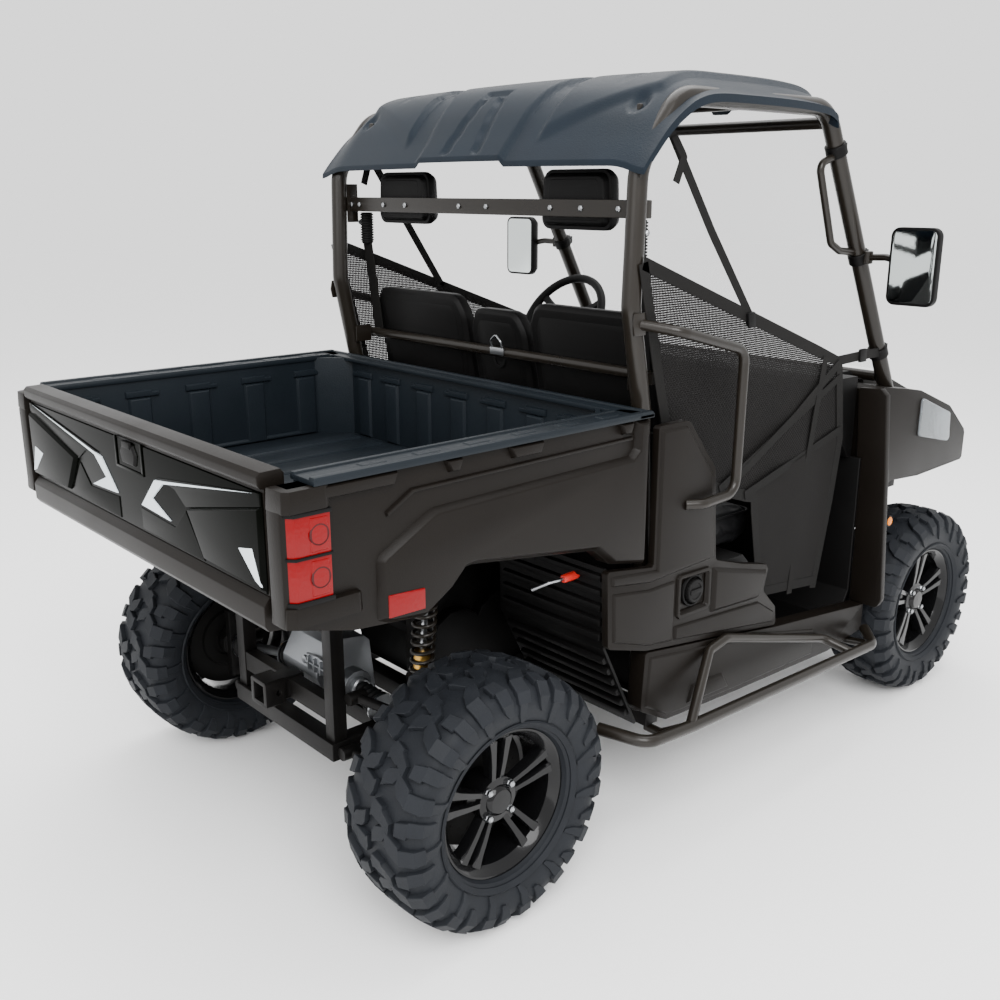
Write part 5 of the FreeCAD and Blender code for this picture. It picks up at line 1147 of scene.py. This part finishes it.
lever = bmesh.new()
tube(lever, [(-560, 700, 762), (-590, 668, 782), (-600, 640, 785), (-600, 560, 786)], 9, 20, 14)
hand_over("bed_release_rod", lever, bright_steel, "chassis")
grip = bmesh.new()
spindle(grip, (-600, 628, 785), (-600, 540, 787), [(0, 6), (0, 9), (3, 11), (30, 11.5), (60, 11),
                                                   (80, 10.5), (86, 8), (88, 4)])
hand_over("bed_release_grip", grip, lever_red, "chassis")

# %% [markdown]
# ## Side nets
# The door net is knitted polyester in a webbing border, with a closed pocket cloth at its foot.
# It is pulled between the cage, the seat base and the front post, so it lies nearly flat with
# soft waves between its fixings. Cloth this tight is quicker and truer as a ruled sheet
# between its two edges than as a simulation.

# %% Net shape
NET_X = 668
REAR_EDGE = [(440, 1572), (370, 1300), (310, 1090), (150, 960), (-82, 882), (-149, 556)]
FRONT_EDGE = [(440, 1572), (-483, 1237), (-523, 992), (-495, 802), (-436, 515)]


def edge_place(edge, share):
    """Place at a share of an edge's length."""
    lengths = [math.dist(a, b) for a, b in zip(edge, edge[1:])]
    left = share * sum(lengths)
    for (a, b), length in zip(zip(edge, edge[1:]), lengths):
        if left <= length or b == edge[-1]:
            part = min(left / length, 1)
            return a[0] + (b[0] - a[0]) * part, a[1] + (b[1] - a[1]) * part
        left -= length


def net_place(side, across, down, stand=0.0, bulge=0.0):
    """Place on the net between its rear and front edges, with soft waves."""
    y0, z0 = edge_place(REAR_EDGE, down)
    y1, z1 = edge_place(FRONT_EDGE, down)
    y, z = y0 + (y1 - y0) * across, z0 + (z1 - z0) * across
    middle = math.sin(math.pi * across) * math.sin(math.pi * min(down * 1.02, 1))
    wave = 5 * math.sin(across * 9 + down * 4) + 3 * math.sin(down * 17 + across * 3)
    return at(side * (NET_X + stand + middle * wave + bulge * math.sin(math.pi * across)), y, z)


def net_sheet(name, side, top, foot, finish, stand=0.0, bulge=0.0, stands_for=()):
    """Sheet between two shares of the net's height."""
    shape = bmesh.new()
    wide, tall = 48, max(10, int(60 * (foot - top)))
    rows = []
    for j in range(tall + 1):
        down = top + (foot - top) * j / tall
        puff = bulge * math.sin(math.pi * j / tall) if bulge else 0
        rows.append([net_place(side, i / wide, down, stand, puff) for i in range(wide + 1)])
    area = sum(face.calc_area() for face in sheet_between(shape, rows))
    return hand_over(name, shape, finish, "chassis", *stands_for, smooth=60), area


print("net shape ready")

# %% Straps
def strap(shape, places, wide, face, thick=2.0, steps=8):
    """Flat webbing along places, lying on the given face direction."""
    places = [Vector(place) for place in places]
    face = Vector(face).normalized()
    path = [places[0]]
    for a, b in zip(places, places[1:]):
        path += [a.lerp(b, k / steps) for k in range(1, steps + 1)]
    rings = []
    for place, way in zip(path, directions(path)):
        across = way.cross(face).normalized()
        out = across.cross(way).normalized()
        rings.append([(place + across * u * wide / 2 + out * v * thick / 2) / 1000
                      for u, v in ((-1, -1), (-0.96, 1), (0.96, 1), (1, -1))])
    bmesh.ops.recalc_face_normals(shape, faces=skin(shape, rings))


print("straps ready")

# %% Nets, pockets and webbing
NET_FOOT = 0.985
# Width, then the places that the strap runs through
NET_STRAPS = (
    # Two straps that cross the net and carry its buckles
    (26, (674, 60, 930), (676, -260, 1100), (674, -483, 1237)),
    (26, (674, -300, 530), (678, -330, 900), (674, -400, 1262)),
    # Buckle strap to the windshield pillar, and the strap up to the cage with its hanging end
    (30, (668, -470, 1240), (664, -640, 1243), (655, -768, 1240)),
    (27, (672, -14, 1403), (655, 160, 1640), (646, 332, 1886)),
    (25, (650, 318, 1868), (668, 300, 1820), (664, 322, 1760)),
)
for side, word in ((-1, "right"), (1, "left")):
    net, net_area = net_sheet("side_net_" + word, side, 0.02, 0.74, net_cloth, stands_for=("side_nets",))
    pockets, pocket_area = net_sheet("net_pockets_" + word, side, 0.70, NET_FOOT, pocket_cloth, stand=3,
                                     bulge=9)
    borders = bmesh.new()
    out = (side, 0, 0)
    for edge in (REAR_EDGE, FRONT_EDGE):
        strap(borders, [(side * 671, y, z) for y, z in edge], 34, out)
    # Foot, and two straps across below the middle, as (share of the height, stand off, width)
    for down, x, wide in ((NET_FOOT, 672, 30), (0.70, 674, 26), (0.60, 674, 22)):
        ends = [edge_place(edge, down) for edge in (REAR_EDGE, FRONT_EDGE)]
        strap(borders, [(side * x, y, z) for y, z in ends], wide, out)
    for wide, *places in NET_STRAPS:
        strap(borders, [(side * x, y, z) for x, y, z in places], wide, out)
    border_piece = hand_over("net_webbing_" + word, borders, webbing, "chassis", smooth=40)
    buckle = bmesh.new()
    plate(buckle, "x", [(-640, 1222), (-606, 1222), (-600, 1230), (-600, 1256), (-606, 1264), (-640, 1264)],
          side * 662, side * 672, 2, 1)
    plate(buckle, "x", [(-28, 1378), (6, 1384), (12, 1420), (-20, 1424)], side * 670, side * 680, 2, 1)
    hand_over("net_buckles_" + word, buckle, cabin_plastic, "chassis")
    print(word, "net area", round(net_area, 4), "pocket area", round(pocket_area, 4))

# %% [markdown]
# ## Seats
# The seat bottoms are foam in grained vinyl, the backs are moulded shells with a thin pad in
# front. Foam under vinyl swells between its seams, so each bottom is its own solid taken
# through a short cloth simulation with a little air pressure, then given its welt.

# %% Cushions by cloth simulation
CLOTH_FRAMES = 20
VOXEL_M, SWELL_M, AIR_PRESSURE = 0.006, 0.010, 4
SEAT_BASE_TOP = 716.5
WELT_DROP = 26  # from a cushion's top to its welt


def soft_outline(corners, steps=6):
    """Outline with each (u, v, radius) corner as an arc."""
    points = []
    for before, corner, after in zip(corners[-1:] + corners[:-1], corners, corners[1:] + corners[:1]):
        here = Vector(corner[:2])
        back, ahead = (Vector(before[:2]) - here).normalized(), (Vector(after[:2]) - here).normalized()
        half = back.angle(ahead) / 2
        reach = corner[2] / math.tan(half)
        centre = here + (back + ahead).normalized() * (corner[2] / math.sin(half))
        first, last = here + back * reach - centre, here + ahead * reach - centre
        for step in range(steps + 1):
            turn = first.angle_signed(last) * step / steps
            c, s = math.cos(-turn), math.sin(-turn)
            points.append(tuple(centre + Vector((first.x * c - first.y * s, first.x * s + first.y * c))))
    return points


def make_cushion(name, centre_x, wide, top):
    """Seat bottom: a slightly small form, swollen by cloth pressure, with a flat underside."""
    shape = bmesh.new()
    half = wide / 2 - 6
    profile = soft_outline([(-176, 742, 22), (-176, top - 20, 30), (198, top - 6, 16), (198, 722, 10),
                            (-120, 722, 10)], 5)
    plate(shape, "x", profile, centre_x - half, centre_x + half, 16)
    piece = new_piece(name, shape)
    bpy.context.view_layer.objects.active = piece
    remesh = piece.modifiers.new("even_faces", "REMESH")
    remesh.mode = "VOXEL"
    remesh.voxel_size = VOXEL_M
    settle(piece)
    start = [vert.co.copy() for vert in piece.data.vertices]
    cloth = piece.modifiers.new("air", "CLOTH")
    cloth.settings.use_pressure = True
    cloth.settings.uniform_pressure_force = AIR_PRESSURE
    cloth.settings.effector_weights.gravity = 0
    for step in range(1, CLOTH_FRAMES + 1):
        bpy.context.scene.frame_set(step)
    settle(piece)
    bpy.context.scene.frame_set(1)
    for vert, before in zip(piece.data.vertices, start):
        move = vert.co - before
        if move.length > SWELL_M:
            move *= SWELL_M / move.length
        vert.co = before + move
        vert.co.z = max(vert.co.z, SEAT_BASE_TOP / 1000)
    fine = piece.modifiers.new("fine", "SUBSURF")
    fine.levels = 1
    fine.render_levels = 1
    settle(piece)
    dress(piece, seat_vinyl, "chassis", "seat_cushions")


def settle(piece):
    """Apply every modifier of a piece to its mesh."""
    seen = piece.evaluated_get(bpy.context.evaluated_depsgraph_get())
    made = bpy.data.meshes.new_from_object(seen)
    piece.modifiers.clear()
    piece.data = made


print("cushion helpers ready")

# %% Three cushions and their welts
welts = bmesh.new()
for name, centre_x, wide, top in (("cushion_right", -SEAT_X, 462, 842), ("cushion_left", SEAT_X, 462, 842),
                                  ("cushion_middle", 0, 250, 830)):
    make_cushion(name, centre_x, wide, top)
    half = wide / 2 - 3
    outline = soft_outline([(centre_x - half, -168, 26), (centre_x + half, -168, 26),
                            (centre_x + half, 196, 14), (centre_x - half, 196, 14)], 5)
    ring = [(x, y, top - WELT_DROP) for x, y in outline]
    tube(welts, ring + ring[:1], 6, sides=8)
hand_over("cushion_welts", welts, seat_vinyl, "chassis", smooth=60)

# %% Seat backs
BACK_FOOT = 853
SHELL_DEEP, PAD_DEEP = 44, 40  # the moulded shell, and the pad's crown in front of it
PAD_STEPS = 22


def back_y(z):
    """Rear face of the leaning seat backs at a height."""
    return 313.9 - (1277 - z) * 0.1817


def leaned(shape, outline, far, near, inset=0.0, bevel=4.0):
    """Plate that leans with the seat backs, between two depths in front of their rear face."""
    small = shrunk(outline, inset) if inset else outline
    faces = skin(shape, [[at(x, back_y(z) - far, z) for x, z in outline],
                         [at(x, back_y(z) - near, z) for x, z in small]])
    bevel_new(shape, faces, bevel)


shells, pads, seams = bmesh.new(), bmesh.new(), bmesh.new()
for centre_x, half, top in ((-SEAT_X, 231, 1432), (SEAT_X, 231, 1432), (0, 125, 1400)):
    outline = soft_outline([(centre_x - half + 1, BACK_FOOT, 26), (centre_x + half - 1, BACK_FOOT, 26),
                            (centre_x + half - 1, top - 60, 90), (centre_x + half - 34, top, 52),
                            (centre_x - half + 34, top, 52), (centre_x - half + 1, top - 60, 90)], 5)
    leaned(shells, outline, SHELL_DEEP, 12, 0, 4)
    leaned(shells, outline, 14, 1, 14, 3)
    leaned(shells, shrunk(outline, 30), 4, 0.5, 8, 1)
    # Front pad, crowned between its edges
    rows = []
    for j in range(PAD_STEPS + 1):
        v = -1 + 2 * j / PAD_STEPS
        row = []
        for i in range(PAD_STEPS + 1):
            u = -1 + 2 * i / PAD_STEPS
            squeeze = 1 - 0.10 * max(v, 0) ** 3
            x = centre_x + u * (half - 8) * squeeze * (1 - 0.06 * abs(v) ** 6)
            z = (BACK_FOOT + top) / 2 + v * (top - BACK_FOOT - 16) / 2 * (1 - 0.05 * abs(u) ** 6)
            swell = (1 - abs(u) ** 5) * (1 - abs(v) ** 7)
            row.append(at(x, back_y(z) - SHELL_DEEP - PAD_DEEP * swell, z))
        rows.append(row)
    bmesh.ops.recalc_face_normals(pads, faces=sheet_between(pads, rows))
    # Cross seam at two thirds of the height
    z = BACK_FOOT + (top - BACK_FOOT) * 0.66
    tube(seams, [(centre_x + u * (half - 12) * 0.98,
                  back_y(z) - SHELL_DEEP - PAD_DEEP * (1 - abs(u) ** 5) * 0.93, z)
                 for u in (k / 10 for k in range(-9, 10))], 5, sides=8)
hand_over("seat_back_shells", shells, cabin_plastic, "chassis", "seat_backs")
hand_over("seat_back_pads", pads, seat_vinyl, "chassis", smooth=70)
hand_over("seat_back_seams", seams, seat_vinyl, "chassis")

# %% Dark hole and ring of the middle back
eye = bmesh.new()
turned(eye, [(-3, 23), (0.8, 27), (1.4, 25), (1.4, 18), (-3, 17)], (0, back_y(1250), 1250), 32, "y",
       closed=True)
turned(eye, [(-3, 17), (-2, 16), (-2, 0.5)], (0, back_y(1250), 1250), 32, "y")
hand_over("middle_back_eye", eye, soft_rubber, "chassis")

# %% Headrests
headrests, head_pads = bmesh.new(), bmesh.new()
for side in SIDES:
    cx = side * SEAT_X
    outline = soft_outline([(cx - 131, 1641, 30), (cx + 131, 1641, 30), (cx + 122, 1795, 34),
                            (cx - 122, 1795, 34)], 6)
    plate(headrests, "y", outline, 352, 374, 3)
    plate(headrests, "y", shrunk(outline, 8), 373, 387.5, 3, 10)
    plate(headrests, "y", soft_outline([(cx - 96, 1664, 12), (cx + 96, 1664, 12), (cx + 90, 1772, 14),
                                        (cx - 90, 1772, 14)], 4),
          386, 388.3, 1, 3)
    for x in (cx - 56, cx + 56):
        plate(headrests, "y", rect(x - 14, 1672, x + 14, 1722), 384, 388.5, 1)
    plate(head_pads, "y", outline, 353, 331, 6, 12)
hand_over("headrest_shells", headrests, cabin_plastic, "chassis", "headrests")
hand_over("headrest_pads", head_pads, seat_vinyl, "chassis", smooth=60)

# %% Seat belts
reels, belts = bmesh.new(), bmesh.new()
for side in SIDES:
    x, y = side * 590, 366.4
    rings = [(4 + 8 * k + d, r) for k in range(11) for d, r in ((0, 17.5), (2, 21.8), (5, 21.8), (7, 17.5))]
    spindle(reels, (x, y, 1671.5), (x, y, 1571), [(0, 12), (1, 20)] + rings + [(95, 20), (100, 14)], 24)
    strap(belts, [(x, y, 1574), (x, 348, 1440), (x, 331, 1293)], 47, (0, 1, 0.1), 3)
hand_over("belt_boots", reels, soft_rubber, "chassis", "seat_belts")
hand_over("belt_webbing", belts, webbing, "chassis", smooth=40)
loop = bmesh.new()
tube(loop, [(-52, 345, 1288), (-52, 352, 1312), (-30, 352, 1330), (-8, 352, 1312), (-8, 345, 1288)], 7, 10,
     12)
plate(loop, "y", rect(-60, 1270, 0, 1292), 343, 349, 2)
hand_over("belt_guide_loop", loop, bright_steel, "chassis")

# %% [markdown]
# ## Windshield
# The windshield is a folded polycarbonate sheet. What shows is its edge and two faint creases
# where the sheet folds, so the sheet is nearly clear and the creases are true small steps.

# %% Windshield sheet
SLOPE = math.hypot(PILLAR_RUN, PILLAR_RISE)
GAP = 17.3  # from the pillars' axis to the sheet
AHEAD_Y, AHEAD_Z = GAP * PILLAR_RISE / SLOPE, GAP * PILLAR_RUN / SLOPE


def glass_point(x, z, ahead=0.0):
    """Place on the leaning sheet at a height, or some millimetres ahead of it."""
    y = pillar_y(z) - AHEAD_Y - ahead * PILLAR_RISE / SLOPE
    return at(x, y, z + AHEAD_Z + ahead * PILLAR_RUN / SLOPE)


glass = bmesh.new()
heights = [1164, 1190, 1380, 1386, 1392, 1470, 1476, 1482, 1700, 1940, 1966]
steps_ahead = {1386: 2.4, 1476: 2.4}
rings = []
for z in heights:
    half = 610 if 1170 < z < 1960 else 596
    lift = steps_ahead.get(z, 0)
    rings.append([glass_point(-half, z, lift), glass_point(half, z, lift), glass_point(half, z, lift + 2.6),
                  glass_point(-half, z, lift + 2.6)])
faces = skin(glass, rings)
bevel_new(glass, faces, 0.5, 1, sharp=60)
hand_over("windshield_sheet", glass, clear_sheet, "chassis", "windshield", smooth=10)

# %% [markdown]
# ## Mirrors, lamps and small fittings
# Each mirror is a moulded case with silvered glass sunk in its rear face. The headlamp is a
# clear cover over bright bowls. The fuel cap and the marker are turned forms.

# %% Mirrors
MIRROR_X = 840
cases, mirrors, stalks = bmesh.new(), bmesh.new(), bmesh.new()
for side in SIDES:
    cx = side * MIRROR_X
    outline = soft_outline([(cx - 75, 1414, 26), (cx + 75, 1414, 26), (cx + 75, 1638, 26),
                            (cx - 75, 1638, 26)], 6)
    plate(cases, "y", outline, -572, -547.5, 3)
    plate(cases, "y", outline, -571, -598.5, 5, 20)
    plate(mirrors, "y", shrunk(outline, 8), -549, -546.9, 0.6)
    tube(stalks, [(side * 668, -590.5, 1545), (side * 735, -586, 1548), (side * 800, -573, 1536)], 21, 60,
         18)
    spindle(stalks, (side * 786, -576, 1520), (side * 786, -576, 1556),
            [(0, 12), (2, 16), (34, 16), (36, 12)])
    spindle(stalks, (side * 672, -590, 1526), (side * 672, -590, 1564),
            [(0, 12), (2, 15), (36, 15), (38, 12)])
hand_over("mirror_cases", cases, cabin_plastic, "chassis", "mirrors")
hand_over("mirror_glasses", mirrors, mirror_glass, "chassis")
hand_over("mirror_stalks", stalks, cage_coat, "chassis")

# %% Steering wheel
WHEEL_CENTRE, WHEEL_RADIUS, GRIP = (0.374, -0.330, 1.290), 170, 15
LEAN_COS, LEAN_SIN = 0.819152, 0.573576  # the column leans by 35 degrees
wheel, cap = bmesh.new(), bmesh.new()
turned(wheel, [(GRIP * math.cos(math.radians(30 * k)), WHEEL_RADIUS + GRIP * math.sin(math.radians(30 * k)))
               for k in range(12)], (0, 0, 0), 72, closed=True)
for turn in (0, 120, 240):
    spoke = bmesh.new()
    rings = []
    for reach, half, depth in ((30, 20, -4), (80, 14, -7), (130, 13, -5), (164, 15, 0)):
        rings.append([at(depth + low, across, reach) for across, low in
                      ((-half, -5), (-half + 4, 5), (half - 4, 5), (half, -5))])
    faces = skin(spoke, rings)
    bmesh.ops.recalc_face_normals(spoke, faces=faces)
    bmesh.ops.rotate(spoke, verts=spoke.verts, matrix=Matrix.Rotation(math.radians(turn + 60), 3, "X"))
    part = bpy.data.meshes.new("spoke")
    spoke.to_mesh(part)
    spoke.free()
    wheel.from_mesh(part)
    bpy.data.meshes.remove(part)
turned(cap, [(-18, 44), (-14, 52), (6, 52), (13, 46), (16, 34), (16, 0.5)], (0, 0, 0), 48)
turned(cap, [(-298, 12), (-297, 17), (-60, 17), (-56, 24), (-18, 26), (-17, 10)], (0, 0, 0), 32)
lean = Matrix(((0, -1, 0), (LEAN_COS, 0, -LEAN_SIN), (LEAN_SIN, 0, LEAN_COS)))
for made in (wheel, cap):
    bmesh.ops.transform(made, verts=made.verts, matrix=Matrix.Translation(WHEEL_CENTRE) @ lean.to_4x4())
hand_over("steering_wheel_rim", wheel, soft_rubber, "steering_wheel", "steering_wheel")
hand_over("steering_wheel_hub", cap, cabin_plastic, "steering_wheel")

# %% Headlamps
bowls, covers = bmesh.new(), bmesh.new()
lamp_outline = soft_outline([(-956, 1074, 12), (-1164, 996, 14), (-1176, 890, 16), (-954, 942, 14)], 4)
plate(bowls, "x", lamp_outline, -705.5, -708, 1)
for y, z in ((-1004, 1008), (-1066, 984), (-1128, 946)):
    plate(bowls, "x", soft_outline([(y - 26, z - 26, 12), (y + 26, z - 20, 12), (y + 26, z + 30, 12),
                                    (y - 26, z + 22, 12)], 4),
          -707, -710.5, 1, 4)
plate(covers, "x", lamp_outline, -711, -713.8, 1.5, 2)
hand_over("headlamp_bowls", bowls, cast_alloy, "chassis", "headlamps", mirror=True)
hand_over("headlamp_covers", covers, clear_lens, "chassis", mirror=True)

# %% Fuel cap
CAP_Y, CAP_Z = 244, 692
fuel = bmesh.new()
turned(fuel, [(-711, 30), (-713, 33), (-716, 34), (-728, 33), (-731, 31), (-731.5, 24), (-729.5, 22),
              (-729.5, 0.5)],
       (0, CAP_Y, CAP_Z), 40)
turned(fuel, [(-712, 45), (-716, 46), (-721, 44), (-722, 40), (-717, 37), (-712, 37)], (0, CAP_Y, CAP_Z),
       48, closed=True)
plate(fuel, "x", soft_outline([(218, 684, 5), (270, 684, 5), (270, 700, 5), (218, 700, 5)], 3), -729,
      -733.8, 1.5, 1.5)
for angle in circle(20):
    c, s = math.cos(angle), math.sin(angle)
    spindle(fuel, (-716, CAP_Y + 33.4 * c, CAP_Z + 33.4 * s), (-729, CAP_Y + 32.4 * c, CAP_Z + 32.4 * s),
            [(0, 2.2), (13, 1.8)], 8)
hand_over("fuel_cap_moulded", fuel, cabin_plastic, "chassis", "fuel_cap")

# %% Side markers
marker, marker_rim = bmesh.new(), bmesh.new()
MARKER = (0, -761, 687)
turned(marker, [(-737, 15), (-741, 14.5), (-744, 11), (-745, 5), (-745.2, 0.5)], MARKER, 28)
turned(marker_rim, [(-735, 20), (-739, 20), (-740.5, 18), (-740.5, 15), (-735, 15)], MARKER, 28,
       closed=True)
hand_over("side_marker_lenses", marker, amber_lens, "chassis", mirror=True)
hand_over("side_marker_rims", marker_rim, cabin_plastic, "chassis", mirror=True)

# %% [markdown]
# ## The remaining solids
# Plain pieces that already have the real form get their edges rounded and take a finish.
# What lies inside or behind others keeps its solid and takes only the finish.

# %% Soft edges on panels
SOFT = {
    "bed_frame": (frame_coat, 1.5), "cab_sides": (body_plastic, 4), "dashboard": (cabin_plastic, 4),
    "engine": (cabin_plastic, 4), "floor_pan": (cabin_plastic, 3), "frame": (frame_coat, 2),
    "front_fascia": (body_plastic, 4), "front_fenders": (body_plastic, 4), "front_posts": (body_plastic, 3),
    "front_tower": (frame_coat, 1.5), "gearcases": (cast_alloy, 2), "hitch_receiver": (frame_coat, 2),
    "hood": (body_plastic, 4), "knuckle_left": (cast_iron, 1.5), "knuckle_right": (cast_iron, 1.5),
    "mud_guards": (cabin_plastic, 1.5), "rear_tower": (frame_coat, 1.5), "rear_uprights": (cast_iron, 1.5),
    "seat_base": (cabin_plastic, 4), "steering_rack": (bright_steel, 1.5),
}
for name, (finish, width_mm) in SOFT.items():
    softened(name, finish, width_mm)

# %% [markdown]
# ## Ribs of the rear wheel arch
# The guard ahead of each rear wheel is a thin blow-moulded wall, and its wide horizontal ribs
# keep it from drumming. Each rib is a bevelled bar on the wall's back face.

# %% Arch ribs
arch_ribs = bmesh.new()
for z in (628, 668, 708, 748, 788):
    plate(arch_ribs, "x", [(574, z), (588, z + 4), (588, z + 20), (575, z + 24)], -692, -322, 3)
for drop in (28, 68, 108, 148, 188, 228):
    y, z = 574 - drop * 0.459, 604 - drop * 0.889
    plate(arch_ribs, "x", [(y, z), (y + 11, z - 8), (y + 4, z - 22), (y - 11, z - 21)], -692, -322, 3)
hand_over("wheel_arch_ribs", arch_ribs, cabin_plastic, "chassis", mirror=True)

# %% [markdown]
# ## Relief of the cab's side panels
# The side of the cab is two mouldings with a seam between them: a rear quarter and a lower panel
# that carries the fuel cap in a recess, over a rocker. Each is a few millimetres proud with sloped
# edges, so a plate on the solid gives the seam and the edge light without touching the solid.

# %% Cab side relief
SIDE_X = 720
# Each plate as its outline, how far it starts inside and ends outside the solid, bevel and inset
RELIEF = (
    # Rear quarter, and the lower panel behind, before and under the fuel cap
    ([(186, 1014), (300, 1160), (404, 1160), (404, 790), (578, 812), (576, 782), (430, 758), (160, 768)],
     -1, 6, 2.5, 6),
    ([(430, 742), (572, 764), (566, 628), (428, 580), (326, 566), (326, 742)], -1, 6, 2.5, 6),
    ([(164, 742), (30, 706), (-100, 672), (-76, 606), (-60, 590), (164, 604)], -1, 10, 3, 12),
    ([(320, 608), (-66, 580), (-146, 530), (-150, 492), (156, 540), (320, 566)], -1, 7, 2.5, 6),
    # Rocker and its raised field
    ([(418, 546), (430, 402), (330, 346), (21, 330), (-380, 318), (-380, 405), (-169, 456), (156, 506)],
     -1, 5, 2.5, 6),
    ([(236, 412), (96, 404), (60, 348), (258, 356)], 3, 11, 2, 7),
)
relief = bmesh.new()
for outline, near, far, bevel, inset in RELIEF:
    plate(relief, "x", outline, -SIDE_X - near, -SIDE_X - far, bevel, inset)
# Chamfered frame of the recess
recess = [(182, 622), (304, 622), (316, 634), (316, 742), (304, 752), (182, 748), (170, 736), (170, 634)]
rings = [[upright("x", u, v, -SIDE_X + depth) for u, v in shrunk(recess, inset)]
         for depth, inset in ((1, 0), (-6, 3), (-7, 7), (-6, 12), (4, 20))]
faces = skin(relief, rings, caps=False)
bmesh.ops.recalc_face_normals(relief, faces=faces)
hand_over("cab_side_relief", relief, body_plastic, "chassis", smooth=30, mirror=True)

# %% [markdown]
# ## Seal under the hood's nose
# The hood closes on a rubber strip above the fascia, which keeps light and dust out of the slit.
# It is one bevelled bar inside the hood's lip, with a thin bead along its lower edge.

# %% Hood seal
seal = bmesh.new()
plate(seal, "y", rect(-550, 852, 550, 926), -1296, -1286, 2)
tube(seal, [(-548, -1297, 856), (548, -1297, 856)], 10, sides=14)
hand_over("hood_seal", seal, soft_rubber, "chassis")

# %% [markdown]
# ## Floor and light
# A pale floor and three wide soft lamps show dark plastic without hard glare.
# Dark finishes need large lamps, because what the eye sees on them is the lamps' reflection.

# %% Floor
FLOOR_HALF, FLOOR_DROP = 30, -0.001  # in metres
floor_paint, tree = new_material("matt_studio_floor")
shader = add_node(tree, "ShaderNodeBsdfPrincipled", Base_Color=linear("ffffff"), Roughness=0.9)
add_node(tree, "ShaderNodeOutputMaterial", Surface=shader.outputs[0])
floor_mesh = bpy.data.meshes.new("floor")
floor_mesh.from_pydata([(x, y, FLOOR_DROP) for x, y in rect(-FLOOR_HALF, -FLOOR_HALF, FLOOR_HALF,
                                                            FLOOR_HALF)],
                       [], [(0, 1, 2, 3)])
floor = bpy.data.objects.new("floor", floor_mesh)
floor.data.materials.append(floor_paint)
bpy.context.scene.collection.objects.link(floor)
print("floor laid")

# %% Sky and lamps
SKY = 1.65
AIM = Vector((0, 0, 0.8))
world = bpy.data.worlds.new("soft_sky")
bpy.context.scene.world = world
world.use_nodes = True
sky = world.node_tree.nodes["Background"]
sky.inputs[0].default_value = linear("ffffff")
sky.inputs[1].default_value = SKY
for name, place, size, power in (("key_lamp", (-4.5, 3.0, 5.0), 4.0, 560),
                                 ("fill_lamp", (-1.5, 6.0, 3.4), 4.0, 130),
                                 ("top_lamp", (0.5, -1.0, 6.0), 5.0, 320)):
    lamp_data = bpy.data.lights.new(name, "AREA")
    lamp_data.size = size
    lamp_data.energy = power
    lamp = bpy.data.objects.new(name, lamp_data)
    lamp.location = place
    lamp.rotation_euler = (AIM - Vector(place)).to_track_quat("-Z", "Y").to_euler()
    bpy.context.scene.collection.objects.link(lamp)
print("lamps placed")

# %% A finish for every other solid
for solid in frame["nodes"].values():
    solid.data.materials.clear()
    solid.data.materials.append(cabin_plastic)
